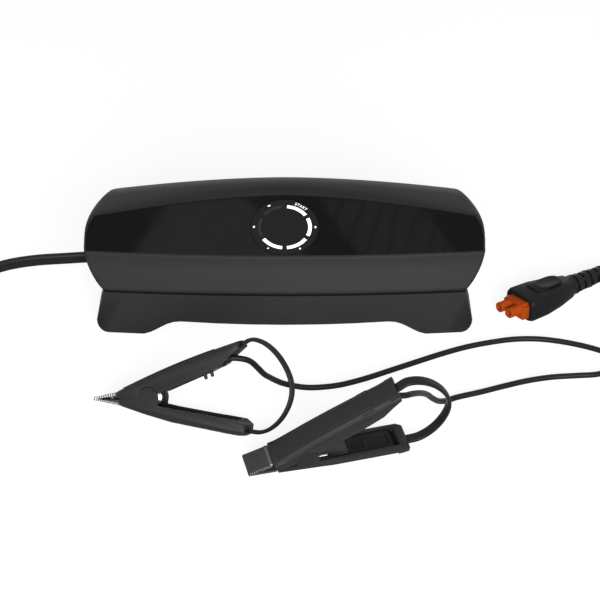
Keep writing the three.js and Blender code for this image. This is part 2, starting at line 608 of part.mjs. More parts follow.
function grommetBlock(grow) {
  const outside = endWallX(MAINS.exitZ) - GROMMET.proud;
  const length = 10;
  const wide = GROMMET.width + 2 * grow;
  const tall = GROMMET.height + 2 * grow;
  const x = outside + length / 2 - grow * 20;
  const reach = length + grow * 40;
  const middle = box(reach, wide, tall - wide, x, MAINS.exitY, MAINS.exitZ);
  const ends = [-1, 1].map((side) => rod('x', wide / 2, reach, x, MAINS.exitY, MAINS.exitZ + side * (tall - wide) / 2, 12));
  return union(middle, ...ends);
}

// Coil of the mains lead, on its edge: in, up one layer where it dips clear of its neighbours, and out again.
function coilPoints() {
  const total = Math.round(COIL.turns * COIL.steps);
  const half = (COIL.turns - COIL.climb) / 2;
  const centreY = LEAD_Y - COIL.outer;
  return spread(0, COIL.turns, total).map((turn) => {
    const inwards = turn < COIL.turns / 2 ? Math.min(turn, half) : Math.min(COIL.turns - turn, half);
    const climb = THREE.MathUtils.clamp((turn - half) / COIL.climb, 0, 1);
    const fromMiddle = Math.abs(turn - COIL.turns / 2);
    const dip = COIL.dip * (1 - THREE.MathUtils.smoothstep(fromMiddle, COIL.climb / 2, COIL.climb / 2 + 0.25));
    const radius = COIL.outer - inwards * COIL.pitch - dip;
    const angle = Math.PI / 2 + turn * 2 * Math.PI;
    return vec(COIL.x + radius * Math.cos(angle), centreY + radius * Math.sin(angle),
      MAINS.width / 2 + climb * COIL.layer);
  });
}

const UP = vec(0, 0, 1);

function buildMainsLead() {
  const outside = endWallX(MAINS.exitZ) - GROMMET.proud - CLEARANCE;
  const exit = vec(outside, LEAD_Y, MAINS.exitZ);
  piece('lead_grommet', grommetBlock(0), 'rubber');
  const coil = coilPoints();
  const start = coil[0];
  const low = MAINS.width / 2;
  const run = smooth([
    exit,
    ...[[4, 0], [20, 1], [38, 2.4], [55, 5.5], [72, 11.5], [88, 18], [102, 22.6]].map(([away, drop]) =>
      vec(outside - away, LEAD_Y, MAINS.exitZ - drop)),
    vec(COIL.x + 12, LEAD_Y, low + 0.1),
    vec(COIL.x + 6, LEAD_Y, low + 0.1),
    start.clone().add(vec(CLEARANCE, 0, 0)),
  ], 20);
  piece('mains_lead_run', flatCord(run, MAINS.width, MAINS.thickness, UP), 'cord', leads);
  printLeastGap('mains_lead_coil', coil, COIL.steps / 2, (p, q) => Math.hypot(
    Math.max(0, Math.hypot(p.x - q.x, p.y - q.y) - MAINS.thickness),
    Math.max(0, Math.abs(p.z - q.z) - MAINS.width)));
  piece('mains_lead_coil', flatCord(coil, MAINS.width, MAINS.thickness, UP, COIL.sides), 'cord', leads);
  const end = coil[coil.length - 1];
  const tail = smooth([
    end.clone().add(vec(0, -2 * CLEARANCE, 0)),
    end.clone().add(vec(0, -4, 0)),
    end.clone().add(vec(0, -9, -0.6)),
    vec(end.x + 0.5, end.y - 18, 9),
    vec(end.x + 2, end.y - 30, 7),
    vec(end.x + 4, end.y - 40, PLUG.height / 2),
    vec(end.x + 5, end.y - 46, PLUG.height / 2),
  ], 12);
  piece('mains_lead_tail', flatCord(tail, MAINS.width, MAINS.thickness, UP), 'cord', leads);
  buildPlug(tail[tail.length - 1], tail[tail.length - 2]);
}

// Two-pin mains plug that lies on the floor, in line with the end of its lead.
function buildPlug(end, before) {
  const group = new THREE.Group();
  group.position.copy(end);
  group.rotation.z = Math.atan2(end.y - before.y, end.x - before.x);
  const ring = (x, width, height) => [[-1, -1], [1, -1], [1, 1], [-1, 1]].flatMap(([sy, sz]) => {
    const cut = Math.min(width, height) * 0.28;
    const corner = [vec(x, sy * (width / 2 - cut), sz * height / 2), vec(x, sy * width / 2, sz * (height / 2 - cut))];
    return sy * sz > 0 ? corner.reverse() : corner;
  });
  const body = loft([
    ring(CLEARANCE, MAINS.width + 2, MAINS.width + 2),
    ring(8, PLUG.width, PLUG.height - 2),
    ring(PLUG.length * 0.6, PLUG.width + 3, PLUG.height),
    ring(PLUG.length - 4, PLUG.noseWidth + 4, PLUG.height),
    ring(PLUG.length, PLUG.noseWidth + 4, PLUG.height),
  ]);
  let solid = toSolid(body);
  [-1, 1].forEach((side, i) => {
    const y = side * PLUG.pinSpacing / 2;
    solid = solid.subtract(rod('x', PLUG.pinRadius + CLEARANCE, 8, PLUG.length, y, 0, 16));
    const pin = rod('x', PLUG.pinRadius, PLUG.pinLength + 3, PLUG.length - 3 + (PLUG.pinLength + 3) / 2, y, 0, 16);
    piece(`mains_plug_pin_${i + 1}`, pin, 'brass', group);
  });
  piece('mains_plug', solid, 'rubber', group);
  leads.add(group);
}

// Clamps. Lower arm and upper arm share one frame: x from the jaws' tip, z up, y along the pivot.

const FLOOR = 1.9; // a clamp arm's thickness at its back

const clampWidth = (x) => CLAMP.frontWidth + (CLAMP.rearWidth - CLAMP.frontWidth) * x / CLAMP.length;

// Ring of a channel with a crowned back; low is its back, high its open edge.
function channelRing(x, half, low, high, turned) {
  const wall = CLAMP.wall;
  const side = Math.sign(high - low);
  const chamfer = Math.min(2.8, Math.abs(high - low) * 0.4);
  const at = (y, fromBack) => turned(x, y, low + side * fromBack);
  const depth = Math.abs(high - low);
  return [
    at(-half, depth), at(-half, chamfer), at(-half + 1.6, 0.8), at(-half * 0.5, 0),
    at(half * 0.5, 0), at(half - 1.6, 0.8), at(half, chamfer), at(half, depth),
    at(half - wall, depth), at(half - wall, chamfer), at(half - wall - 0.5, FLOOR),
    at(-half + wall + 0.5, FLOOR), at(-half + wall, chamfer), at(-half + wall, depth),
  ];
}

// Heights of the lower arm's open edge and of its back, along it
const LOWER_OPEN = [
  [CLAMP.jaw, 7.4], [24, 7.6], [30, 7.8], [38, 8], [46, 7.8], [CLAMP.length - 23, 8.1], [CLAMP.length - 11, 8.5],
  [CLAMP.length - 4, 8.6], [CLAMP.length, 6.2],
];
const LOWER_BACK = [[CLAMP.jaw, 3.2], [30, 1.4], [46, 0], [CLAMP.length - 5, 0], [CLAMP.length, 0.9]];

// The upper arm runs from ahead of the pivot to a little past the lower arm's length.
const ARM_FRONT = -16;
const ARM_END = CLAMP.length - CLAMP.pivotX + 2;
const UPPER_OPEN = [
  [ARM_FRONT - 0.8, 6.6], [-12, 4.2], [-6.5, 2.4], [0, 0.9], [8, 0.4], [ARM_END - 19, 1], [ARM_END - 13, 1.6],
  [ARM_END - 6, 4.6], [ARM_END, 6.6],
];
const WIRE_STOP = ARM_END - 15;

const splitLine = (x) => CLAMP.tipZ + (LOWER_OPEN[0][1] + 0.3 - CLAMP.tipZ) * x / CLAMP.jaw;

function lowerArm() {
  const upright = (x, y, z) => vec(x, y, z);
  const stations = LOWER_OPEN.map(([x]) => x);
  const rings = stations.map((x) => channelRing(x, clampWidth(x) / 2, along(LOWER_BACK, x), along(LOWER_OPEN, x), upright));
  const half = clampWidth(CLAMP.pivotX) / 2;
  const ears = [-1, 1].map((side) => rod('y', CLAMP.ear, CLAMP.wall, CLAMP.pivotX,
    side * (half - CLAMP.wall / 2), CLAMP.pivotZ, 28));
  const roots = [-1, 1].map((side) => box(2 * CLAMP.ear, CLAMP.wall, CLAMP.pivotZ - 6, CLAMP.pivotX,
    side * (half - CLAMP.wall / 2), 3 + CLAMP.pivotZ / 2));
  const tail = toSolid(loft([CLAMP.length - 5.5, CLAMP.length - 3, CLAMP.length].map((x) => {
    const inner = clampWidth(x) / 2 - CLAMP.wall / 2;
    const low = along(LOWER_BACK, x) + 1;
    const high = along(LOWER_OPEN, x);
    return [vec(x, -inner, low), vec(x, inner, low), vec(x, inner, high), vec(x, -inner, high)];
  })));
  const bore = rod('y', CLAMP.pin + CLEARANCE, 2 * half - 1.2, CLAMP.pivotX, 0, CLAMP.pivotZ, 14);
  return union(toSolid(loft(rings)), ...ears, ...roots, tail).subtract(bore);
}

// Turns the upper arm's own [along, across] about the pivot into the clamp's frame.
function turned(a, y, b) {
  const angle = radians(CLAMP.angle);
  return vec(CLAMP.pivotX + a * Math.cos(angle) - b * Math.sin(angle), y,
    CLAMP.pivotZ + a * Math.sin(angle) + b * Math.cos(angle));
}

const armBack = (a) => CLAMP.outer + CLAMP.bulge * Math.sin(Math.PI * (a - ARM_FRONT) / (ARM_END - ARM_FRONT));

function upperArm() {
  const stations = [ARM_FRONT, -12, -6.5, 0, 8, 22, 36, ARM_END - 13, ARM_END - 9, ARM_END - 6, ARM_END];
  const rings = stations.map((a) => channelRing(a, clampWidth(a + CLAMP.pivotX - 14) / 2, armBack(a), along(UPPER_OPEN, a), turned));
  const half = clampWidth(CLAMP.pivotX) / 2;
  const notchFrom = half - CLAMP.wall - CLEARANCE + 0.05;
  const notch = [-1, 1].map((side) => rod('y', CLAMP.ear + CLAMP.notchGap, 5, CLAMP.pivotX,
    side * (notchFrom + 2.5), CLAMP.pivotZ, 28));
  const lugY = half - CLAMP.wall - CLEARANCE - CLAMP.lugThickness / 2;
  const block = (from, to, low, high, inner) => toSolid(loft([from, to].map((a) =>
    [turned(a, -inner, low), turned(a, inner, low), turned(a, inner, high), turned(a, -inner, high)])));
  const lugs = [-1, 1].flatMap((side) => {
    const web = toSolid(loft([-4.6, 4.6].map((a) => [-1, 1].flatMap((edge) => {
      const y = side * lugY + edge * CLAMP.lugThickness / 2;
      const column = [turned(a, y, 0), turned(a, y, CLAMP.outer - 1)];
      return edge > 0 ? column.reverse() : column;
    }))));
    return [web, rod('y', CLAMP.lug, CLAMP.lugThickness, CLAMP.pivotX, side * lugY, CLAMP.pivotZ, 20)];
  });
  const wireStop = block(WIRE_STOP - 6, WIRE_STOP, 1.2, armBack(WIRE_STOP) - 1, clampWidth(CLAMP.length) / 2 - CLAMP.wall / 2);
  const tail = toSolid(loft([ARM_END - 4.5, ARM_END - 2.5, ARM_END].map((a) => {
    const inner = clampWidth(a + CLAMP.pivotX - 14) / 2 - CLAMP.wall / 2;
    const low = along(UPPER_OPEN, a);
    const high = armBack(a) - 1;
    return [turned(a, -inner, low), turned(a, inner, low), turned(a, inner, high), turned(a, -inner, high)];
  })));
  const bore = rod('y', CLAMP.pin + CLEARANCE, 2 * half, CLAMP.pivotX, 0, CLAMP.pivotZ, 14);
  const arm = toSolid(loft(rings)).subtract(union(...notch));
  return union(arm, ...lugs, wireStop, tail).subtract(bore);
}

// One jaw: a toothed channel. Its outline is in [x, z]; the teeth run along the split line.
function jaw(outer, upper) {
  const side = upper ? 1 : -1;
  const inside = CLAMP.jaw + JAW.inside;
  const edge = (x) => splitLine(x) + side * 0.2;
  const plateLine = [...outer].reverse();
  const depth = (x) => Math.abs(along(plateLine, x) - edge(x));
  const mouth = (x) => 0.5 * depth(x) * Math.sin(Math.PI * THREE.MathUtils.clamp((x - 2.6) / 5.4, 0, 1));
  const teeth = spread(8.4, CLAMP.jaw - 0.6, 2 * JAW.teeth).map((x, i) => [x, edge(x) + side * JAW.toothHeight * (i % 2)]);
  const open = spread(2.6, 8, 4).map((x) => [x, edge(x) + side * mouth(x)]);
  const flange = [[0, edge(0)], ...open, ...teeth, [inside, edge(inside) + side * 0.4], ...outer];
  const half = clampWidth(inside) / 2 - CLAMP.wall - CLEARANCE;
  const solid = prismXZ(flange, -half, half);
  const hollow = prismXZ([
    [JAW.tip + 0.6, edge(0) - side * 4], [JAW.tip + 0.6, edge(0) + side * 0.1],
    ...insetOuter(outer, side).reverse(),
    [inside + 4, edge(inside) - side * 4],
  ], -half + JAW.plate, half - JAW.plate);
  return solid.subtract(hollow);
}

// The inner face of a jaw's plate, under its outer line.
function insetOuter(outer, side) {
  const drop = side * JAW.plate * 1.15;
  const [rear, bend] = outer;
  const front = outer[outer.length - 1];
  return [
    [rear[0] + 4, rear[1] - drop + (rear[1] - bend[1]) * 4 / (rear[0] - bend[0])],
    ...outer.slice(1, -1).map(([x, z]) => [x, z - drop]),
    [front[0] + 1.6, front[1] - drop * 0.4],
  ];
}

// Each jaw steps out where it leaves its arm.
function upperJaw() {
  const depth = CLAMP.outer - FLOOR - CLEARANCE;
  const line = [turned(ARM_FRONT + 6, 0, depth), turned(ARM_FRONT - CLEARANCE, 0, depth),
    turned(ARM_FRONT - CLEARANCE, 0, CLAMP.outer - 0.8)];
  return jaw([...line.map((p) => [p.x, p.z]), [0.3, CLAMP.tipZ + JAW.tip]], true);
}

function lowerJaw() {
  const back = along(LOWER_BACK, CLAMP.jaw);
  const low = back + FLOOR + CLEARANCE;
  const inside = CLAMP.jaw + JAW.inside;
  const top = CLAMP.pivotZ - SPRING.radius - SPRING.wire - CLEARANCE;
  const tongue = prismXZ([[CLAMP.jaw + 1, low], [JAW.tongue, low], [COVER.from - CLEARANCE, COVER.front - 1.4],
    [COVER.from - CLEARANCE, COVER.front], [JAW.tongue, top], [CLAMP.jaw + 1, top]], -JAW.tongueWidth / 2, JAW.tongueWidth / 2);
  const line = [[inside, low - 0.2], [CLAMP.jaw - CLEARANCE + 0.05, low], [CLAMP.jaw - CLEARANCE, back + 0.6]];
  return jaw([...line, [0.3, CLAMP.tipZ - JAW.tip]], false).add(tongue);
}

// Torsion spring round the pivot pin, with a leg along each arm.
function pivotSpring() {
  const from = -Math.PI / 2;
  const to = Math.PI / 2 + radians(CLAMP.angle) - 2 * Math.PI * (SPRING.turns + 1);
  const steps = 12 * (SPRING.turns + 1);
  const coil = spread(from, to, steps).map((angle, i) => vec(
    CLAMP.pivotX + SPRING.radius * Math.cos(angle),
    -SPRING.halfWidth + 2 * SPRING.halfWidth * i / steps,
    CLAMP.pivotZ + SPRING.radius * Math.sin(angle)));
  const lower = [
    vec(SPRING.lowerLeg, -SPRING.halfWidth, CLAMP.pivotZ - SPRING.radius),
    vec(CLAMP.pivotX + 5, -SPRING.halfWidth, CLAMP.pivotZ - SPRING.radius)];
  const upper = [turned(8, SPRING.halfWidth, SPRING.radius + 0.8),
    turned(SPRING.upperLeg, SPRING.halfWidth, armBack(SPRING.upperLeg) - FLOOR - CLEARANCE - SPRING.wire - 0.2)];
  printLeastGap('clamp spring', coil, 6, (p, q) => p.distanceTo(q) - 2 * SPRING.wire);
  return roundCord([...lower, ...coil, ...upper], 2 * SPRING.wire, 64, 5);
}

// Block over the wire's crimp, with a window in its top.
function conductorCover() {
  const half = clampWidth(COVER.to) / 2 - CLAMP.wall - CLEARANCE;
  const floor = FLOOR + CLEARANCE + 0.2;
  const block = prismXZ([[COVER.from, floor], [COVER.to, floor], [COVER.to, COVER.high - 3], [COVER.to - 3, COVER.high],
    [COVER.from + 7, COVER.high - 0.8], [COVER.from, COVER.front]], -half, half);
  const window = box(11, 1.2 * half, 2 * COVER.recess, COVER.to - 10, 0, COVER.high);
  return block.subtract(window);
}

// The flat bridging lead, in the clamp's middle plane.
function jumperPoints() {
  const start = turned(ARM_END + CLEARANCE, 0, 8.2);
  const end = vec(CLAMP.length + CLEARANCE, 0, 3.2);
  const down = end.clone().sub(start);
  const out = vec(-down.z, 0, down.x);
  return smooth([start, ...JUMPER_LOOP.map(([share, reach]) =>
    start.clone().addScaledVector(down, share).addScaledVector(out, reach)), end], 22);
}

function buildClamp({ name, x, y, yaw, roll }) {
  const group = new THREE.Group();
  group.rotation.set(-radians(roll), 0, radians(yaw), 'ZYX');
  piece(`${name}_lower_arm`, lowerArm(), 'clamp', group);
  piece(`${name}_upper_arm`, upperArm(), 'clamp', group);
  piece(`${name}_lower_jaw`, lowerJaw(), 'steel', group);
  piece(`${name}_upper_jaw`, upperJaw(), 'steel', group);
  const half = clampWidth(CLAMP.pivotX) / 2;
  piece(`${name}_pivot_pin`, rod('y', CLAMP.pin, 2 * half - 1.8, CLAMP.pivotX, 0, CLAMP.pivotZ, 14), 'steel', group);
  piece(`${name}_spring`, pivotSpring(), 'steel', group);
  piece(`${name}_conductor_cover`, conductorCover(), 'unlit', group);
  piece(`${name}_jumper`, flatCord(jumperPoints(), JUMPER.width, JUMPER.thickness, vec(0, 1, 0)), 'cord', group);
  layout.add(group);
  group.updateMatrixWorld();
  const lowest = new THREE.Box3().setFromObject(group.children[0], true).min.z;
  group.position.set(x, y, -lowest);
  group.updateMatrixWorld();
  return group;
}

// The wire's first points, inside the upper arm, in the layout's frame.
function wireStart(group) {
  return [WIRE_STOP + CLEARANCE, WIRE_STOP + 5].map((a) => turned(a, 4.2, 3.8)).map((point) => group.localToWorld(point));
}

function buildClampWires() {
  const groups = CLAMPS.map(buildClamp);
  const junctionFace = JUNCTION.x - JUNCTION.length / 2 - CLEARANCE;
  const z = WIRE / 2 + 0.2;
  const first = [...wireStart(groups[0]),
    vec(-20.3, -87, 34.5), vec(-17.1, -84.7, 31.2), vec(-13.9, -83.2, 26.7), vec(-10.7, -81, 21.5),
    vec(-7.5, -75.9, 16), vec(-4.3, -70.9, 10.9), vec(-1, -66.7, 6.6), vec(2.8, -63.8, 3.6), vec(9, -63.2, z),
    vec(15.7, -64, z), vec(29.2, -61.9, z), vec(42.8, -56.1, z), vec(63.6, -43.9, z), vec(91.9, -27.1, z),
    vec(106.3, -19.9, z), vec(120.6, -14.8, z), vec(134.8, -11.5, z), vec(148.8, -11.5, z), vec(162.4, -14.8, z),
    vec(175.7, -20.4, z), vec(185, -26, z), vec(193.5, -32, z + 0.4),
    vec(junctionFace - 4, JUNCTION.y + 3.2, JUNCTION.height / 2 - 0.1),
    vec(junctionFace, JUNCTION.y + 3.2, JUNCTION.height / 2)];
  const second = [...wireStart(groups[1]),
    vec(62.8, -131, 39.6), vec(67.8, -124.1, 36.2), vec(72.9, -112.2, 29.1), vec(77.5, -100.3, 20.6),
    vec(81.5, -91.3, 12.2), vec(85.5, -83.7, 5.6), vec(90, -77.8, z + 0.2), vec(95.6, -74.3, z), vec(109.4, -68.7, z),
    vec(123.4, -62.4, z), vec(137.4, -56.7, z), vec(151.3, -53, z), vec(165, -51.4, z), vec(177.4, -49.9, z),
    vec(190, -44.4, z + 0.2), vec(junctionFace - 4, JUNCTION.y - 3.2, JUNCTION.height / 2 - 0.1),
    vec(junctionFace, JUNCTION.y - 3.2, JUNCTION.height / 2)];
  piece('clamp_1_wire', roundCord(first, WIRE, 44), 'cord', leads);
  piece('clamp_2_wire', roundCord(second, WIRE, 34), 'cord', leads);
}

// Connector lead: the moulded junction, a flat twin cord and the keyed connector.

function roundedRing(x, width, height, centreZ, corner = 0.32, turns = 5) {
  const cut = Math.min(width, height) * corner;
  const corners = [[1, 1], [-1, 1], [-1, -1], [1, -1]];
  return corners.flatMap(([sy, sz], k) => spread(k * Math.PI / 2, (k + 1) * Math.PI / 2, turns - 1).map((angle) => vec(
    x,
    sy * (width / 2 - cut) + cut * Math.cos(angle),
    centreZ + sz * (height / 2 - cut) + cut * Math.sin(angle))));
}

function buildJunction() {
  const middle = JUNCTION.height / 2;
  const body = loft([
    roundedRing(-JUNCTION.length / 2, JUNCTION.width - 2, JUNCTION.height - 1, middle),
    roundedRing(-JUNCTION.length / 2 + 2, JUNCTION.width, JUNCTION.height, middle),
    roundedRing(0, JUNCTION.width - 1, JUNCTION.height, middle),
    roundedRing(JUNCTION.length / 2, JUNCTION.taper, JUNCTION.height - 1, middle),
  ]);
  piece('lead_junction', body.translate(JUNCTION.x, JUNCTION.y, 0), 'rubber', leads);
}

function buildConnector() {
  const c = CONNECTOR;
  const group = new THREE.Group();
  group.position.set(c.x, c.y, 0);
  group.rotation.z = radians(c.yaw);
  const middle = c.height / 2;
  const shell = toSolid(loft([
    roundedRing(c.shellFrom, c.width - 1.5, c.height - 1.5, middle, 0.26),
    roundedRing(c.shellFrom + 2, c.width, c.height, middle, 0.26),
    roundedRing(c.shellFrom + 14, c.width, c.height, middle, 0.3),
    roundedRing(c.shellTo - 12, c.width * 0.86, c.height * 0.95, middle, 0.36),
    roundedRing(c.shellTo, c.width * 0.62, c.height * 0.84, middle, 0.42),
  ]));
  const mouth = box(8, c.insertWidth + 2 * CLEARANCE, c.insertHeight + 2 * CLEARANCE, c.shellFrom, 0, middle);
  const pad = toSolid(loft([
    roundedRing(c.shellFrom + 10, 11, 2, c.height, 0.45),
    roundedRing(c.shellTo - 8, 8, 1.6, c.height * 0.975, 0.45),
  ]));
  piece('connector_shell', shell.subtract(mouth).add(pad), 'clamp', group);
  const insertFrom = c.shellFrom - 4.6;
  const insertTo = c.shellFrom + 4 - CLEARANCE;
  let insert = box(insertTo - insertFrom, c.insertWidth, c.insertHeight, (insertFrom + insertTo) / 2, 0, middle)
    .subtract(box(20, 3.4, 3.4, insertFrom, c.insertWidth / 2, middle + c.insertHeight / 2))
    .subtract(box(20, 3.4, 3.4, insertFrom, -c.insertWidth / 2, middle + c.insertHeight / 2));
  [-1, 1].forEach((side) => {
    insert = insert.add(rod('x', c.tube, insertFrom + 1, (insertFrom + 1) / 2, side * c.tubeSpacing / 2, middle + 0.6, 24));
  });
  insert = insert.add(rod('x', 2.3, insertFrom - 2, (insertFrom - 2) / 2 + 3, 0, middle - 2.7, 16));
  [-1, 1].forEach((side) => {
    insert = insert.subtract(rod('x', c.bore, 18, 2, side * c.tubeSpacing / 2, middle + 0.6, 16));
  });
  piece('connector_insert', insert, 'orange', group);

  const start = c.shellTo + CLEARANCE;
  const pitch = BOOT.length / BOOT.ribs;
  const radius = (x) => BOOT.from + (BOOT.to - BOOT.from) * x / BOOT.length;
  const rings = Array.from({ length: BOOT.ribs }, (_, i) => i * pitch).flatMap((x) => [
    [x, radius(x)], [x + pitch * 0.62, radius(x)], [x + pitch * 0.66, radius(x) - BOOT.groove],
    [x + pitch * 0.96, radius(x) - BOOT.groove]]);
  rings.push([BOOT.length - 0.1, radius(BOOT.length)], [BOOT.length + 2.4, radius(BOOT.length)]);
  piece('connector_boot', loft(rings.map(([x, r]) => {
    const around = spread(0, 2 * Math.PI, 12).slice(0, 12);
    return around.map((angle) => vec(start + x, r * Math.cos(angle), middle + r * 0.92 * Math.sin(angle)));
  })), 'rubber', group);
  leads.add(group);
  group.updateMatrixWorld();
  return [0, 9].map((more) => group.localToWorld(vec(start + BOOT.length + 2.4 + CLEARANCE + more, 0, middle - more * 0.15)));
}

function buildTwinLead(boot) {
  const low = TWIN.thickness / 2 + 0.2;
  const points = smooth([
    ...boot,
    vec(222, 73.5, 4), vec(236, 72, low), vec(249, 64, low), vec(257, 50, low), vec(260, 33, low),
    vec(260, 14, low), vec(258, -5, low), vec(252, -21, low), vec(243, -32, 2.4),
    vec(231, -37.6, 3), vec(JUNCTION.x + JUNCTION.length / 2 + CLEARANCE + 3, JUNCTION.y, JUNCTION.height / 2),
    vec(JUNCTION.x + JUNCTION.length / 2 + CLEARANCE, JUNCTION.y, JUNCTION.height / 2)], 28);
  piece('connector_lead', flatCord(points, TWIN.thickness, TWIN.width, UP), 'cord', leads);
}

// Puts the origin under the middle of everything but the free leads.
function centreLayout() {
  layout.remove(leads);
  const middle = new THREE.Box3().setFromObject(layout, true).getCenter(vec(0, 0, 0));
  layout.add(leads);
  layout.position.set(-middle.x, -middle.y, 0);
}

buildBase();
buildHousing();
buildScrews();
buildPads();
buildDisplay();
buildElectronics();
buildSocket();
buildMainsLead();
buildClampWires();
buildJunction();
buildTwinLead(buildConnector());
centreLayout();

export default layout;
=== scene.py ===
import contextlib
import enum
import logging
import math
from dataclasses import astuple, dataclass
from typing import Callable, Iterable, Iterator, Optional, Sequence, Union

import bmesh
import bpy
import numpy as np
from mathutils import Matrix, Vector


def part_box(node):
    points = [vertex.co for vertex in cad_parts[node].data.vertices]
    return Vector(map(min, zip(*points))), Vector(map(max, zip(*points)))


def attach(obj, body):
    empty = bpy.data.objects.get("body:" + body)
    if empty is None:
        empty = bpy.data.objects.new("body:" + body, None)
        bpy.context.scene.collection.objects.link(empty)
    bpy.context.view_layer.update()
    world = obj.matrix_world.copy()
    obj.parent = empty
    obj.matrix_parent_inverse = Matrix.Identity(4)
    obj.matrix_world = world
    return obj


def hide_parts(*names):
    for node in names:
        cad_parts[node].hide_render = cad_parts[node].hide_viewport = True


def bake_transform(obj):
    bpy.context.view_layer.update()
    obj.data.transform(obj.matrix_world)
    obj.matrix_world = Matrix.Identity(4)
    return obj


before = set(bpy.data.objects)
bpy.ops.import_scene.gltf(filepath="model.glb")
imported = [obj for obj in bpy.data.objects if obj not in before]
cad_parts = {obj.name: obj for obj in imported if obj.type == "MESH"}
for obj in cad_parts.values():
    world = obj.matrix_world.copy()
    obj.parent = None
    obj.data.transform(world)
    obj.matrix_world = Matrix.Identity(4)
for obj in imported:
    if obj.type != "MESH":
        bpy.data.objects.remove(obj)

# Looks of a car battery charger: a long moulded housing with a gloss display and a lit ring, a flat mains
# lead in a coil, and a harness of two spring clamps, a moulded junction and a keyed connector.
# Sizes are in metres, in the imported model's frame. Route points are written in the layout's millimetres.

LOG = logging.getLogger("battery_charger")
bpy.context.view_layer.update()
MM = 0.001
ROOT = "charger_and_leads"
JUNCTION_CENTRE = Vector((214.0, -38.0, 0.0)) * MM
CHARGER_Y = -6.0
CONNECTOR_FOOT = (129.5, 11.0)
CONNECTOR_YAW = math.radians(36)
CURVE_STEPS = 24
HALVINGS = 9
STEPS_TO_FORM = 4
SMOOTH_COSINE = 0.72
UP = Vector((0.0, 0.0, 1.0))
SIDES = ((-1, "near"), (1, "far"))

Number = Union[int, float]
Pair = tuple[float, float]
Point = tuple[float, float, float]
Material = bpy.types.Material
Object = bpy.types.Object


def middle_of(node: str) -> Vector:
    """The middle of a CAD node's box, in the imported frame."""
    low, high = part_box(node)
    return (low + high) / 2


def layout_shift() -> Vector:
    """Works out the move, in metres, from the layout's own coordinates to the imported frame."""
    centre = middle_of("lead_junction")
    return Vector((centre.x - JUNCTION_CENTRE.x, centre.y - JUNCTION_CENTRE.y, 0.0))


SHIFT = layout_shift()


def placed(x: float, y: float, z: float) -> Vector:
    """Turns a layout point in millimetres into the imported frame, in metres."""
    return Vector((x, y, z)) * MM + SHIFT


def put(thing: bpy.types.bpy_struct, **values: object) -> None:
    """Sets several of a thing's properties, in the order given."""
    for key, value in values.items():
        setattr(thing, key, value)


# Materials


def operator(operation: str, swapped: bool = False) -> Callable[..., "Signal"]:
    """Makes one of a signal's arithmetic methods.

    Args:
        operation: The Math node's operation.
        swapped: Whether the other value comes first.

    Returns:
        The method.
    """
    def method(self: "Signal", *others: Union["Signal", Number]) -> "Signal":
        """Adds the Math node and gives its value."""
        values = [*others, self] if swapped else [self, *others]
        return self.bench.out("ShaderNodeMath", {"operation": operation}, dict(enumerate(values)))
    return method


class Signal:
    """One value on its way through a node tree, with Python's arithmetic."""

    __add__, __radd__ = operator("ADD"), operator("ADD", True)
    __sub__, __rsub__ = operator("SUBTRACT"), operator("SUBTRACT", True)
    __mul__, __rmul__ = operator("MULTIPLY"), operator("MULTIPLY", True)
    __truediv__, __rtruediv__ = operator("DIVIDE"), operator("DIVIDE", True)
    most, sine, fraction = operator("MAXIMUM"), operator("SINE"), operator("FRACT")

    def __init__(self, bench: "Graph", socket: bpy.types.NodeSocket) -> None:
        """Keeps the socket that the value comes from."""
        self.bench = bench
        self.socket = socket

    def ramp(self, start: Number, end: Number) -> "Signal":
        """Rises smoothly from zero at start to one at end."""
        return self.bench.out(
            "ShaderNodeMapRange", {"interpolation_type": "SMOOTHSTEP"},
            {"Value": self, "From Min": start, "From Max": end}, "Result")


Value = Union[Signal, Number, Sequence[float]]


class Graph:
    """Builds a node tree of any kind. Every node comes from the node method."""

    def __init__(self, tree: bpy.types.NodeTree) -> None:
        """Takes a tree and empties it."""
        self.tree = tree
        self.tree.nodes.clear()

    def node(self, kind: str, settings: Optional[dict] = None,
             values: Optional[dict] = None) -> bpy.types.Node:
        """Adds a node.

        Args:
            kind: The node's type.
            settings: Its own settings, set first.
            values: Numbers, colours or signals for its inputs, by name or place.

        Returns:
            The node.
        """
        node = self.tree.nodes.new(kind)
        put(node, **(settings or {}))
        for key, value in (values or {}).items():
            socket = node.inputs[key]
            if isinstance(value, Signal):
                self.tree.links.new(value.socket, socket)
            else:
                socket.default_value = value
        return node

    def out(self, kind: str, settings: Optional[dict] = None, values: Optional[dict] = None,
            output: Union[int, str] = 0) -> Signal:
        """Adds a node, as the node method does, and gives one of its outputs, by name or place."""
        return Signal(self, self.node(kind, settings, values).outputs[output])


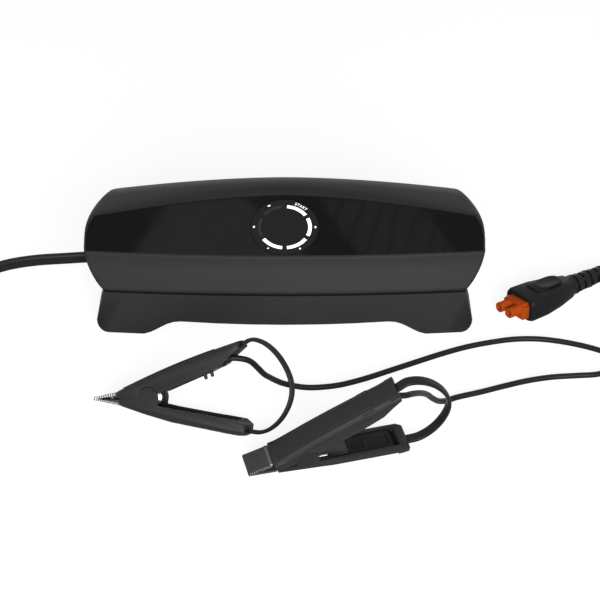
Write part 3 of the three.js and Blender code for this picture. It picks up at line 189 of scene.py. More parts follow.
class Bench(Graph):
    """Builds one material's nodes."""

    def __init__(self, name: str) -> None:
        """Starts an empty material with an output."""
        self.material = bpy.data.materials.new(name)
        self.material.use_nodes = True
        super().__init__(self.material.node_tree)
        self.output = self.node("ShaderNodeOutputMaterial")

    def place(self, scale: Sequence[float] = (1, 1, 1), turn: Sequence[float] = (0, 0, 0)) -> Signal:
        """Object coordinates, scaled along each axis and turned by angles in radians."""
        source = self.out("ShaderNodeTexCoord", output="Object")
        return self.out("ShaderNodeMapping", None, {"Vector": source, "Scale": scale, "Rotation": turn})

    def along(self) -> tuple[Signal, Signal]:
        """Metres along and turns around a cord, from its UV map."""
        source = self.out("ShaderNodeUVMap", {"uv_map": "UVMap"})
        parts = self.node("ShaderNodeSeparateXYZ", None, {"Vector": source})
        return Signal(self, parts.outputs["X"]), Signal(self, parts.outputs["Y"])

    def noise(self, where: Signal, size: float, detail: float = 3.0, roughness: float = 0.5) -> Signal:
        """Noise from zero to one whose features are about size metres across."""
        return self.out("ShaderNodeTexNoise", {"noise_dimensions": "3D"}, {
            "Vector": where, "Scale": 1.0 / size, "Detail": detail, "Roughness": roughness}, "Fac")

    def mix(self, factor: Value, low: Value, high: Value) -> Signal:
        """Blends two colours; factor is how much of the second there is."""
        colours = [value if isinstance(value, Signal) else (*value, 1.0) for value in (low, high)]
        return self.out("ShaderNodeMix", {"data_type": "RGBA"}, dict(zip((0, 6, 7), (factor, *colours))), 2)

    def bump(self, height: Signal, depth: float, strength: float = 1.0) -> Signal:
        """Turns a height of zero to one, of a depth in metres, into a normal."""
        return self.out("ShaderNodeBump", None, {
            "Height": height, "Distance": depth, "Strength": strength}, "Normal")

    def surface(self, **values: Value) -> Material:
        """Ends the material with a Principled shader.

        Args:
            values: The shader's inputs, with underscores for spaces.

        Returns:
            The finished material.
        """
        inputs = {key.replace("_", " "): value for key, value in values.items()}
        shader = self.out("ShaderNodeBsdfPrincipled", {"distribution": "MULTI_GGX"}, {
            key: (*value, 1.0) if isinstance(value, tuple) and len(value) == 3 and "Color" in key else value
            for key, value in inputs.items()})
        self.tree.links.new(shader.socket, self.output.inputs["Surface"])
        return self.material


class Finish:
    """Base of every finish: builds its material once and hands it out."""

    name: str

    def build(self, bench: Bench) -> Material:
        """Makes the material on an empty bench."""
        raise NotImplementedError

    def material(self) -> Material:
        """Gives the finish's material, made on first use."""
        return bpy.data.materials.get(self.name) or self.build(Bench(self.name))


@dataclass(frozen=True)
class MouldedPlastic(Finish):
    """Injection-moulded plastic with a fine spark-eroded grain, faint flow marks and rubbed high spots."""

    name: str
    colour: Point = (0.017, 0.017, 0.0175)
    worn: Point = (0.024, 0.024, 0.0245)
    roughness: float = 0.4
    sheen: float = 0.08
    grain: float = 0.00035
    depth: float = 0.000012

    def build(self, bench: Bench) -> Material:
        """Makes the material on an empty bench."""
        where = bench.place()
        grain = bench.noise(where, self.grain, 2.0)
        flow = bench.noise(bench.place((0.35, 1.0, 1.0)), 0.045, 3.0)
        rub = bench.noise(where, 0.009, 4.0, 0.65).ramp(0.55, 0.78)
        tone = flow * 0.55 + rub * 0.25
        return bench.surface(
            Base_Color=bench.mix(tone, self.colour, self.worn),
            Roughness=self.roughness + grain * 0.10 + flow * 0.08 - rub * 0.05,
            Specular_IOR_Level=self.sheen,
            Normal=bench.bump(grain, self.depth))


@dataclass(frozen=True)
class GlossPanel(Finish):
    """Black gloss acrylic with hairline polishing marks and a few specks of dust."""

    name: str = "gloss_acrylic"

    def build(self, bench: Bench) -> Material:
        """Makes the material on an empty bench."""
        hairs = bench.noise(bench.place((1.0, 14.0, 14.0)), 0.004, 2.0).ramp(0.58, 0.75)
        smudge = bench.noise(bench.place(), 0.022, 3.0).ramp(0.45, 0.8)
        dust = bench.noise(bench.place(), 0.0006, 1.0).ramp(0.80, 0.86)
        return bench.surface(
            Base_Color=bench.mix(dust * 0.5, (0.0012, 0.0012, 0.0013), (0.012, 0.012, 0.012)),
            Roughness=0.045 + hairs * 0.03 + smudge * 0.05,
            Specular_IOR_Level=0.088,
            Normal=bench.bump(hairs, 0.000002))


@dataclass(frozen=True)
class LightGuide(Finish):
    """Frosted light guide, lit or dark, its tone mottled by a fine cloud."""

    name: str
    lit: bool = True

    def build(self, bench: Bench) -> Material:
        """Makes the material on an empty bench."""
        cloud = bench.noise(bench.place(), 0.0016, 2.0)
        if not self.lit:
            return bench.surface(
                Base_Color=bench.mix(cloud, (0.018, 0.018, 0.0185), (0.026, 0.026, 0.0265)),
                Roughness=0.34 + cloud * 0.1, Specular_IOR_Level=0.14)
        glow = bench.mix(cloud, (0.90, 0.93, 1.0), (1.0, 1.0, 1.0))
        return bench.surface(
            Base_Color=bench.mix(cloud, (0.82, 0.83, 0.85), (0.9, 0.9, 0.9)),
            Roughness=0.4 + cloud * 0.1, Emission_Color=glow, Emission_Strength=1.1)


@dataclass(frozen=True)
class PrintedWhite(Finish):
    """White print that the ring's light shows through."""

    name: str = "white_print"

    def build(self, bench: Bench) -> Material:
        """Makes the material on an empty bench."""
        cloud = bench.noise(bench.place(), 0.0008, 2.0)
        return bench.surface(
            Base_Color=bench.mix(cloud, (0.7, 0.7, 0.72), (0.8, 0.8, 0.8)), Roughness=0.5,
            Emission_Color=bench.mix(cloud, (0.8, 0.82, 0.86), (0.9, 0.9, 0.9)), Emission_Strength=0.8)


@dataclass(frozen=True)
class Rubber(Finish):
    """Soft matt rubber or sheath compound with a talc bloom and small handling marks."""

    name: str
    colour: Point = (0.008, 0.008, 0.0085)
    bloom: Point = (0.014, 0.014, 0.0145)
    roughness: float = 0.46
    sheen: float = 0.08

    def build(self, bench: Bench) -> Material:
        """Makes the material on an empty bench."""
        where = bench.place()
        fine = bench.noise(where, 0.0005, 2.0)
        cloud = bench.noise(where, 0.008, 4.0, 0.6).ramp(0.4, 0.8)
        return bench.surface(
            # The colour passes through the hook that paints shade into the boot's grooves; plain rubber comes
            # out as it is.
            Base_Color=self.add_painted_shade(bench, where, bench.mix(cloud, self.colour, self.bloom)),
            Roughness=self.roughness + cloud * 0.12 + fine * 0.06,
            Specular_IOR_Level=self.sheen,
            Normal=bench.bump(fine, 0.00002))

    def add_painted_shade(self, bench: Bench, where: Signal, colour: Signal) -> Signal:
        """Leaves the colour as it is, with no painted shade; other rubbers paint shade into it by place."""
        return colour


@dataclass(frozen=True)
class GrooveShadedRubber(Rubber):
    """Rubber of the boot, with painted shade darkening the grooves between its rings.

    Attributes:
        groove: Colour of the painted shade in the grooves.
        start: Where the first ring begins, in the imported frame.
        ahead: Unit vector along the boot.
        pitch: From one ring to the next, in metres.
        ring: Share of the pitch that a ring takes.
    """

    groove: Point = (0.0012, 0.0012, 0.0012)
    start: Point = (0.0, 0.0, 0.0)
    ahead: Point = (1.0, 0.0, 0.0)
    pitch: float = 0.0057
    ring: float = 0.64

    def add_painted_shade(self, bench: Bench, where: Signal, colour: Signal) -> Signal:
        """Paints shade into the grooves.

        Args:
            bench: The material's bench.
            where: Coordinates in metres.
            colour: The rings' colour.

        Returns:
            The colour with painted shade in its grooves.
        """
        reach = bench.out("ShaderNodeVectorMath", {"operation": "DOT_PRODUCT"},
                          {0: where, 1: self.ahead}, "Value")
        turn = (reach - Vector(self.start).dot(Vector(self.ahead))) / self.pitch
        # Painted shade: the grooves go dark in the colour itself.
        return bench.mix(turn.fraction().ramp(self.ring - 0.05, self.ring + 0.03), colour, self.groove)


@dataclass(frozen=True)
class CordSheath(Finish):
    """Extruded sheath: faint rings along it where the core's lay shows, and a soft shine."""

    name: str
    pitch: float = 0.018
    colour: Point = (0.011, 0.011, 0.012)

    def build(self, bench: Bench) -> Material:
        """Makes the material on an empty bench."""
        along, around = bench.along()
        lay = (along * (2 * math.pi / self.pitch) + around * (2 * math.pi)).sine() * 0.5 + 0.5
        grain = bench.noise(bench.place(), 0.0007, 2.0)
        scuff = bench.noise(bench.place(), 0.006, 4.0, 0.62).ramp(0.56, 0.8)
        return bench.surface(
            Base_Color=bench.mix(scuff * 0.6, self.colour, (0.020, 0.020, 0.0205)),
            Roughness=0.34 + grain * 0.1 + scuff * 0.15,
            Specular_IOR_Level=0.12,
            Normal=bench.bump(lay * 0.6 + grain * 0.4, 0.00005, 0.7))


@dataclass(frozen=True)
class PlatedMetal(Finish):
    """Stamped or drawn metal with fine brush lines and slight tarnish."""

    name: str
    colour: Point = (0.62, 0.62, 0.63)
    tarnish: Point = (0.34, 0.33, 0.32)
    roughness: float = 0.22
    lines: Point = (0.15, 3.0, 3.0)

    def build(self, bench: Bench) -> Material:
        """Makes the material on an empty bench."""
        brushed = bench.noise(bench.place(self.lines), 0.0009, 3.0, 0.6)
        stain = bench.noise(bench.place(), 0.007, 4.0, 0.6).ramp(0.5, 0.82)
        return bench.surface(
            Base_Color=bench.mix(stain * 0.6, self.colour, self.tarnish),
            Metallic=1.0,
            Roughness=self.roughness + brushed * 0.16 + stain * 0.16,
            Normal=bench.bump(brushed, 0.000008))


@dataclass(frozen=True)
class CircuitBoard(Finish):
    """Green lacquered board with copper tracks that show under the lacquer."""

    name: str = "circuit_board"

    def build(self, bench: Bench) -> Material:
        """Makes the material on an empty bench."""
        tracks = bench.out("ShaderNodeTexBrick", {"offset": 0.5}, {
            "Vector": bench.place((300, 300, 300)), "Scale": 1.0, "Mortar Size": 0.12, "Color1": (1, 1, 1, 1),
            "Color2": (0.6, 0.6, 0.6, 1), "Mortar": (0, 0, 0, 1)}, "Color")
        return bench.surface(
            Base_Color=bench.mix(bench.noise(bench.place(), 0.003), (0.012, 0.075, 0.03), (0.03, 0.14, 0.05)),
            Roughness=0.34, Normal=bench.bump(tracks, 0.00005))


BOOT_RUBBER = Rubber("relief_rubber", (0.012, 0.012, 0.0122), (0.018, 0.018, 0.0184), 0.4, 0.1)
# Three tones of one plated steel for the clamp jaws, each set to how bright that face looked under the light:
# the near-black plate is a painted dark reflection, the lip a painted lighter one, and the serrations a
# painted bright reflection.
JAW_STEEL_DARK_REFLECTION = PlatedMetal("jaw_steel", (0.050, 0.050, 0.052), (0.032, 0.031, 0.030), 0.3)
LIP_STEEL_LIGHTER_REFLECTION = PlatedMetal("lip_steel", (0.11, 0.11, 0.112), (0.07, 0.069, 0.067), 0.3)
SERRATION_STEEL_BRIGHT_REFLECTION = PlatedMetal("cut_steel", (0.47, 0.47, 0.48), (0.32, 0.315, 0.31), 0.3)


class Slot(enum.Enum):
    """The record's material slots, each with the finish that dresses it."""

    HOUSING = ("housing", MouldedPlastic("housing_plastic"))
    GLOSS = ("gloss", GlossPanel())
    BUTTON = ("button", MouldedPlastic(
        "button_plastic", (0.006, 0.006, 0.0063), (0.008, 0.008, 0.0083), 0.3, 0.12))
    LIT = ("lit", LightGuide("lit_light_guide"))
    UNLIT = ("unlit", LightGuide("dark_light_guide", False))
    RUBBER = ("rubber", Rubber("boot_rubber"))
    CORD = ("cord", CordSheath("cord_sheath"))
    CLAMP = ("clamp", MouldedPlastic(
        "clamp_plastic", (0.016, 0.016, 0.0165), (0.022, 0.022, 0.0225), 0.33, 0.13))
    SOCKET = ("socket", MouldedPlastic(
        "insert_plastic", (0.008, 0.008, 0.008), (0.012, 0.012, 0.012), 0.40, 0.09))
    STEEL = ("steel", PlatedMetal("nickel_plate"))
    BRASS = ("brass", PlatedMetal("nickel_brass", (0.72, 0.60, 0.36), (0.42, 0.30, 0.15), 0.2))
    ORANGE = ("orange", MouldedPlastic(
        "orange_plastic", (0.33, 0.047, 0.002), (0.40, 0.062, 0.004), 0.34, 0.1))
    BOARD = ("board", CircuitBoard())
    ALUMINIUM = ("aluminium", PlatedMetal(
        "extruded_aluminium", (0.58, 0.59, 0.61), (0.4, 0.4, 0.41), 0.34))
    FERRITE = ("ferrite", Rubber("ferrite_core", (0.03, 0.027, 0.025), (0.06, 0.055, 0.05), 0.6))
    SLEEVE = ("sleeve", MouldedPlastic(
        "capacitor_sleeve", (0.012, 0.02, 0.06), (0.02, 0.03, 0.08), 0.25, 0.5))

    @property
    def label(self) -> str:
        """The slot's name in the record."""
        return self.value[0]

    @property
    def finish(self) -> Finish:
        """The finish that dresses it."""
        return self.value[1]


# Shapes


def spline(points: Sequence[Vector], count: int) -> list[Vector]:
    """Runs a centripetal Catmull-Rom curve through points.

    Args:
        points: The points it passes.
        count: Equal steps along it.

    Returns:
        count + 1 points, evenly spaced.
    """
    ends = [2 * points[0] - points[1], *points, 2 * points[-1] - points[-2]]
    dense: list[Vector] = []
    for a, b, c, d in zip(ends, ends[1:], ends[2:], ends[3:]):
        t = [0.0]
        for start, end in ((a, b), (b, c), (c, d)):
            t.append(t[-1] + max(1e-6, math.sqrt((end - start).length)))
        for i in range(CURVE_STEPS):
            at = t[1] + (t[2] - t[1]) * i / CURVE_STEPS
            level = [a, b, c, d]
            for spans in (((0, 1), (1, 2), (2, 3)), ((0, 2), (1, 3)), ((1, 2),)):
                level = [p.lerp(q, (at - t[m]) / (t[n] - t[m]))
                         for p, q, (m, n) in zip(level, level[1:], spans)]
            dense.append(level[0])
    dense.append(points[-1].copy())
    return evenly(dense, count)


def distances_along(points: Sequence[Vector]) -> list[float]:
    """How far along a broken line each of its corners lies, in metres."""
    distances = [0.0]
    for a, b in zip(points, points[1:]):
        distances.append(distances[-1] + (b - a).length)
    return distances


def evenly(points: Sequence[Vector], count: int) -> list[Vector]:
    """Spaces points evenly along a broken line.

    Args:
        points: The line's corners.
        count: Equal steps along it.

    Returns:
        count + 1 points.
    """
    steps = distances_along(points)
    out, k = [], 0
    for i in range(count + 1):
        target = steps[-1] * i / count
        while k < len(steps) - 2 and steps[k + 1] < target:
            k += 1
        share = (target - steps[k]) / max(1e-12, steps[k + 1] - steps[k])
        out.append(points[k].lerp(points[k + 1], min(1.0, share)))
    return out


def oval(sides: int, squaring: Pair = (1.0, 1.0)) -> list[Pair]:
    """Points round an oval of radius one; powers under one square it off along each coordinate."""
    turns = [2 * math.pi * i / sides for i in range(sides)]
    return [tuple(math.copysign(abs(value) ** power, value)
                  for value, power in zip((math.cos(turn), math.sin(turn)), squaring)) for turn in turns]


def round_section(diameter: float, sides: int = 16) -> list[Pair]:
    """A circle as a cord's section, in metres."""
    return [(x * diameter / 2, y * diameter / 2) for x, y in oval(sides)]


def twin_section(width: float, thickness: float) -> list[Pair]:
    """Two cores side by side in one sheath, with a groove between them on both faces.

    Args:
        width: Across both cores, along the section's first coordinate.
        thickness: Across one core.

    Returns:
        The section.
    """
    depth, spread = 0.30, 0.16
    return [(x * width / 2, y * thickness / 2 * (1 - depth * math.exp(-(x / spread) ** 2)))
            for x, y in oval(20, (1.0, 0.72))]


def ring_faces(rings: int, sides: int, looped: bool = False) -> list[Sequence[int]]:
    """Faces of a tube whose corners come ring by ring.

    Args:
        rings: How many rings it has.
        sides: Corners of each ring.
        looped: Whether the last ring joins the first. If not, both ends are capped.

    Returns:
        Corner numbers of each face.
    """
    count = rings * sides
    faces = [(i * sides + j, i * sides + (j + 1) % sides, ((i + 1) * sides + (j + 1) % sides) % count,
              ((i + 1) * sides + j) % count) for i in range(rings - (not looped)) for j in range(sides)]
    return faces if looped else [*faces, tuple(range(sides))[::-1], tuple(range(count - sides, count))]


@contextlib.contextmanager
def editing(mesh: bpy.types.Mesh) -> Iterator[bmesh.types.BMesh]:
    """Opens a mesh for bmesh's operators and writes it back."""
    work = bmesh.new()
    work.from_mesh(mesh)
    yield work
    work.to_mesh(mesh)
    work.free()


def new_object(name: str, data: bpy.types.ID) -> Object:
    """Puts a mesh, a text, a lamp or a camera in the scene at the origin."""
    made = bpy.data.objects.new(name, data)
    bpy.context.scene.collection.objects.link(made)
    return made


def finished_mesh(piece: Object) -> bpy.types.Mesh:
    """A piece's mesh as its modifiers leave it, as new data."""
    return bpy.data.meshes.new_from_object(piece.evaluated_get(bpy.context.evaluated_depsgraph_get()))


def mesh_object(name: str, verts: Iterable[Sequence[float]], faces: Iterable[Sequence[int]],
                smooth: bool = True) -> Object:
    """Makes an object from corners and faces.

    Args:
        name: The piece's name.
        verts: Corners, in metres.
        faces: Corner numbers of each face.
        smooth: Whether its faces are shaded as one surface.

    Returns:
        The object, its faces turned outwards.
    """
    mesh = bpy.data.meshes.new(name)
    mesh.from_pydata([tuple(v) for v in verts], [], [tuple(f) for f in faces])
    mesh.update()
    with editing(mesh) as work:
        bmesh.ops.recalc_face_normals(work, faces=work.faces)
    if smooth:
        mesh.polygons.foreach_set("use_smooth", [True] * len(mesh.polygons))
    return new_object(name, mesh)


def sweep(name: str, points: Sequence[Vector], section: Sequence[Pair],
          upright: Vector = UP, scale: Optional[Callable[[float], float]] = None) -> Object:
    """Draws a section along a path, with a map that runs along and around it.

    Args:
        name: The piece's name.
        points: The path.
        section: The section; its first coordinate lies nearest to upright.
        upright: Direction that the section's first coordinate follows.
        scale: The section's size at a distance along the path.

    Returns:
        The closed tube.
    """
    verts: list[Vector] = []
    distances = distances_along(points)
    last = None
    for i, point in enumerate(points):
        ahead = (points[min(i + 1, len(points) - 1)] - points[max(i - 1, 0)]).normalized()
        across = ahead.cross(upright)
        if across.length < 0.05 and last is not None:
            across = last
        last = across = across.normalized()
        level = across.cross(ahead).normalized()
        grow = scale(distances[i]) if scale else 1.0
        verts.extend(point + level * (u * grow) + across * (v * grow) for u, v in section)
    count = len(section)
    made = mesh_object(name, verts, ring_faces(len(points), count))
    layer = made.data.uv_layers.new(name="UVMap")
    for polygon in made.data.polygons:
        corners = [divmod(corner, count) for corner in polygon.vertices]
        rings, sides = map(set, zip(*corners))
        wraps = len(rings) == 2 and {0, count - 1} <= sides
        for i, (ring, side) in zip(polygon.loop_indices, corners):
            layer.data[i].uv = (distances[ring], 1.0 if wraps and side == 0 else side / count)
    return made


def packed_copy(node: str, name: str) -> Object:
    """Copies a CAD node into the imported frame, with its faces joined at their corners.

    Args:
        node: The CAD node.
        name: The new piece's name.

    Returns:
        The copy.
    """
    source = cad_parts[node]
    mesh = source.data.copy()
    mesh.transform(source.matrix_world)
    mesh.name = name
    mesh.materials.clear()
    with editing(mesh) as work:
        bmesh.ops.remove_doubles(work, verts=work.verts, dist=1e-6)
    mesh.polygons.foreach_set("use_smooth", [True] * len(mesh.polygons))
    return new_object(name, mesh)


def refined(node: str, name: str, rounding: float) -> Object:
    """Copies a CAD node and rounds its edges.

    Args:
        node: The CAD node.
        name: The new piece's name.
        rounding: Width of the rounding, in metres.

    Returns:
        The piece, finished as a plain mesh.
    """
    piece = packed_copy(node, name)
    with editing(piece.data) as work:
        bmesh.ops.dissolve_limit(work, angle_limit=math.radians(0.8), verts=work.verts, edges=work.edges)
    if rounding > 0:
        bevel = piece.modifiers.new("rounding", "BEVEL")
        put(bevel, width=rounding, segments=2, limit_method="ANGLE", angle_limit=math.radians(24),
            use_clamp_overlap=True)
        bake(piece)
    piece.data.set_sharp_from_angle(angle=math.radians(38))
    return piece


class Form:
    """A smooth shape given by its distance from a point, in the charger's own millimetres."""

    def distance(self, points: np.ndarray) -> np.ndarray:
        """How far points lie outside the shape; negative within it."""
        raise NotImplementedError

    def slope(self, points: np.ndarray, step: float = 0.02) -> np.ndarray:
        """The direction in which the distance grows.

        Args:
            points: Points, one in a row.
            step: Step of the difference.

        Returns:
            Gradients, one in a row.
        """
        out = np.zeros_like(points)
        for axis in range(3):
            move = np.zeros(3)
            move[axis] = step
            out[:, axis] = (self.distance(points + move) - self.distance(points - move)) / (2 * step)
        return out

    @staticmethod
    def own(points: np.ndarray) -> np.ndarray:
        """Packed metres to the charger's own millimetres."""
        return (points - np.array(SHIFT)) / MM - np.array((0.0, CHARGER_Y, 0.0))

    @staticmethod
    def packed(points: np.ndarray) -> np.ndarray:
        """The charger's own millimetres to packed metres."""
        return (points + np.array((0.0, CHARGER_Y, 0.0))) * MM + np.array(SHIFT)


def soft_most(softness: float, *values: np.ndarray) -> np.ndarray:
    """The largest of several values, rounded where they meet.

    Args:
        softness: Width of the rounding.
        values: Arrays of one size.

    Returns:
        The largest.
    """
    stack = np.stack(values)
    top = stack.max(axis=0)
    return top + softness * np.log(np.exp((stack - top) / softness).sum(axis=0))


@dataclass(frozen=True)
class HousingForm(Form):
    """The upper housing's outside: band, collar, display slope, roof and rounded ends, all run together.

    Sizes are in the charger's own millimetres, and leans are in degrees from level.
    """

    half: float = 117.5
    seam: float = 24.57
    band_foot: Pair = (4.376, 24.817)
    band_lean: float = 62.0
    collar_foot: Pair = (11.981, 39.121)
    collar_lean: float = 80.0
    slope_foot: Pair = (13.266, 46.408)
    slope_lean: float = 26.0
    slope_face: float = 45.0
    slope_taper: float = 20.0
    ridge_y: float = 64.212
    back_y: float = 94.212
    back_top: float = 41.5
    end_centre: Pair = (75.0, 51.5)
    end_size: Point = (42.5, 17.0, 38.0)
    square_depth: float = 37.0
    round_depth: float = 61.0
    bow_depth: float = 6.0
    crown: float = 2.4
    crown_drop: float = 1.8
    crown_lean: float = 14.0
    front_round: float = 0.9
    seam_round: float = 1.3
    edge_round: float = 0.35

    def bow(self, x: np.ndarray) -> np.ndarray:
        """How far the front lies back at places along the housing."""
        return self.bow_depth * (x / self.half) ** 2

    def front(self, y: np.ndarray, z: np.ndarray) -> np.ndarray:
        """Distance in front of the band and the collar.

        Args:
            y: Depths behind the bowed front.
            z: Heights.

        Returns:
            The distances.
        """
        faces = []
        for (foot_y, foot_z), lean in ((self.band_foot, self.band_lean),
                                       (self.collar_foot, self.collar_lean)):
            angle = math.radians(lean)
            faces.append((foot_y + (z - foot_z) / math.tan(angle) - y) * math.sin(angle))
        return -soft_most(self.front_round, *[-face for face in faces])

    def top(self, x: np.ndarray, y: np.ndarray, z: np.ndarray, bow: np.ndarray) -> np.ndarray:
        """Distance over the display's slope, the roof and the round back.

        Args:
            x: Places along the housing.
            y: Depths.
            z: Heights.
            bow: How far the front has moved back at each place.

        Returns:
            The distances.
        """
        lean = math.radians(self.slope_lean)
        foot_y, foot_z = self.slope_foot
        face = self.slope_face - self.slope_taper * np.minimum(1, np.abs(x) / self.half) ** 1.7
        edge_y = bow + foot_y + face * math.cos(lean)
        edge_z = foot_z + face * math.sin(lean)
        rise = self.crown - self.crown_drop * (x / self.half) ** 2
        ridge = edge_z + rise
        slope = (z - foot_z) * math.cos(lean) - (y - bow - foot_y) * math.sin(lean)
        bend = edge_y + rise / math.tan(lean + math.radians(self.crown_lean))
        a, b, c = edge_y - 2 * bend + self.ridge_y, 2 * (bend - edge_y), edge_y - y
        t = np.clip((-b + np.sqrt(np.maximum(0, b * b - 4 * a * c))) / (2 * a), 0, 1)
        roof_z = edge_z * (1 - t) ** 2 + ridge * (2 * t - t * t)
        steep = 2 * rise * (1 - t) / np.maximum(0.1, b + 2 * a * t)
        roof = (z - roof_z) / np.sqrt(1 + steep ** 2)
        run, tall = self.back_y - bow / 2 - self.ridge_y, ridge - self.back_top
        u, v = (y - self.ridge_y) / run, (z - self.back_top) / tall
        reach = np.hypot(u, np.maximum(v, 0))
        rear = (reach - 1) * reach / np.maximum(1e-6, np.hypot(u / run, v / tall))
        rear = np.where(v > 0, rear, (u - 1) * run)
        return np.where(y < edge_y, slope, np.where(y < self.ridge_y, roof, rear))

    def end(self, x: np.ndarray, y: np.ndarray, z: np.ndarray) -> np.ndarray:
        """Distance outside the rounded ends.

        Args:
            x: Places along the housing.
            y: Depths.
            z: Heights.

        Returns:
            The distances.
        """
        (centre_x, centre_z), (long, over, under) = self.end_centre, self.end_size
        share = np.sqrt(np.maximum(0.05, 1 - (np.maximum(0, y - self.square_depth) / self.round_depth) ** 2))
        beyond = (np.abs(x) - centre_x) / share
        tall = np.where(z > centre_z, over, under)
        u, v = np.maximum(beyond, 0) / long, (z - centre_z) / tall
        reach = np.hypot(u, v)
        outside = (reach - 1) * reach / np.maximum(1e-6, np.hypot(u / long, v / tall))
        return outside - np.maximum(-beyond, 0) * 0.8

    def distance(self, points: np.ndarray) -> np.ndarray:
        """How far points lie outside the housing; negative within it."""
        x, y, z = points.T
        bow = self.bow(x)
        lower = soft_most(self.seam_round, self.front(y - bow, z), self.seam - z)
        return soft_most(self.edge_round, lower, self.top(x, y, z, bow), self.end(x, y, z))


@dataclass(frozen=True)
class PanelForm(HousingForm):
    """The display panel's polished face, a little under the housing's slope."""

    sunk: float = 0.5

    def distance(self, points: np.ndarray) -> np.ndarray:
        """How far points lie over the panel's face; negative under it."""
        x, y, z = points.T
        lean = math.radians(self.slope_lean)
        foot_y, foot_z = self.slope_foot
        return (z - foot_z) * math.cos(lean) - (y - self.bow(x) - foot_y) * math.sin(lean) + self.sunk


def split_long(work: bmesh.types.BMesh, form: Form, reach: float, longest: float) -> None:
    """Halves the long edges of the faces that lie on a form, until none is left.

    Args:
        work: The mesh.
        form: The form.
        reach: How near to it the faces lie, in millimetres.
        longest: The longest edge left, in metres.
    """
    for _ in range(HALVINGS):
        points = np.array([v.co for v in work.verts])
        work.verts.index_update()
        near = np.abs(form.distance(form.own(points))) < reach
        longs = dict.fromkeys(max(face.edges, key=lambda e: e.calc_length()) for face in work.faces)
        edges = [edge for edge in longs
                 if edge.calc_length() > longest and all(near[v.index] for v in edge.verts)]
        middles = np.array([(e.verts[0].co + e.verts[1].co) / 2 for e in edges]).reshape(-1, 3)
        close = np.abs(form.distance(form.own(middles))) < reach
        edges = [edge for edge, keep in zip(edges, close) if keep]
        if not edges:
            return
        bmesh.ops.subdivide_edges(work, edges=edges, cuts=1)
        bmesh.ops.triangulate(work, faces=[face for face in work.faces if len(face.verts) > 3])


def smoothed(node: str, name: str, form: Form, reach: float, longest: float) -> Object:
    """Copies a CAD node and lays its outside on a smooth form, with the form's own normals.

    Args:
        node: The CAD node.
        name: The new piece's name.
        form: The form.
        reach: How near to the form the outside lies, in millimetres.
        longest: The longest edge on the outside, in metres.

    Returns:
        The piece.
    """
    piece = packed_copy(node, name)
    mesh = piece.data
    with editing(mesh) as work:
        bmesh.ops.triangulate(work, faces=work.faces)
        split_long(work, form, reach, longest)
    points = np.empty(len(mesh.vertices) * 3)
    mesh.vertices.foreach_get("co", points)
    own = form.own(points.reshape(-1, 3))
    near = np.abs(form.distance(own)) < reach
    for _ in range(STEPS_TO_FORM):
        slope = form.slope(own[near])
        gap = form.distance(own[near])
        own[near] -= slope * (gap / np.maximum(0.05, (slope ** 2).sum(axis=1)))[:, None]
    mesh.vertices.foreach_set("co", form.packed(own).ravel())
    mesh.update()
    slope = form.slope(own)
    slope /= np.maximum(1e-9, np.linalg.norm(slope, axis=1))[:, None]
    normals = [(0.0, 0.0, 0.0)] * len(mesh.loops)
    for polygon in mesh.polygons:
        flat = np.array(polygon.normal)
        for i in polygon.loop_indices:
            corner = mesh.loops[i].vertex_index
            smooth = near[corner] and float(slope[corner] @ flat) > SMOOTH_COSINE
            normals[i] = tuple(slope[corner] if smooth else flat)
    mesh.normals_split_custom_set(normals)
    return piece


def bake(piece: Object) -> Object:
    """Turns a piece's live modifiers into its mesh.

    Args:
        piece: The piece.

    Returns:
        The same piece, with a plain mesh.
    """
    mesh = finished_mesh(piece)
    piece.modifiers.clear()
    old = piece.data
    piece.data = mesh
    mesh.name = piece.name
    bpy.data.meshes.remove(old)
    return piece


def dress(piece: Object, slot: Slot, body: str = ROOT, replaces: Sequence[str] = (),
          finish: Optional[Finish] = None, bend: Optional[tuple[Vector, Vector]] = None) -> Object:
    """Gives a finished piece the material of its slot's finish, or of another finish, and, unless it has a
    bend, hangs it on the body that it rides on.

    Args:
        piece: The piece.
        slot: The record's slot.
        body: The CAD body.
        replaces: CAD nodes that it stands for.
        finish: A finish other than the slot's own.
        bend: Where it would start to follow the body, and where it would follow it fully. When given, the
            piece is only baked in place and hung on no body; these two points are not used.

    Returns:
        The piece.
    """
    piece.data.materials.clear()
    piece.data.materials.append((finish or slot.finish).material())
    if bend:
        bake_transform(piece)
    else:
        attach(piece, body)
    if replaces:
        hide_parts(*replaces)
    LOG.info("%s rides on %s", piece.name, body)
    return piece


def refit(node: str, name: str, rounding: float, slot: Slot, body: str = ROOT,
          finish: Optional[Finish] = None) -> Object:
    """Replaces a CAD node by its own copy, refined and dressed."""
    return dress(refined(node, name, rounding), slot, body, (node,), finish)


def finish_node(node: str, slot: Slot) -> None:
    """Gives a CAD node that stays in view its material."""
    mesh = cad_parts[node].data
    mesh.materials.clear()
    mesh.materials.append(slot.finish.material())


# Repeated ribs


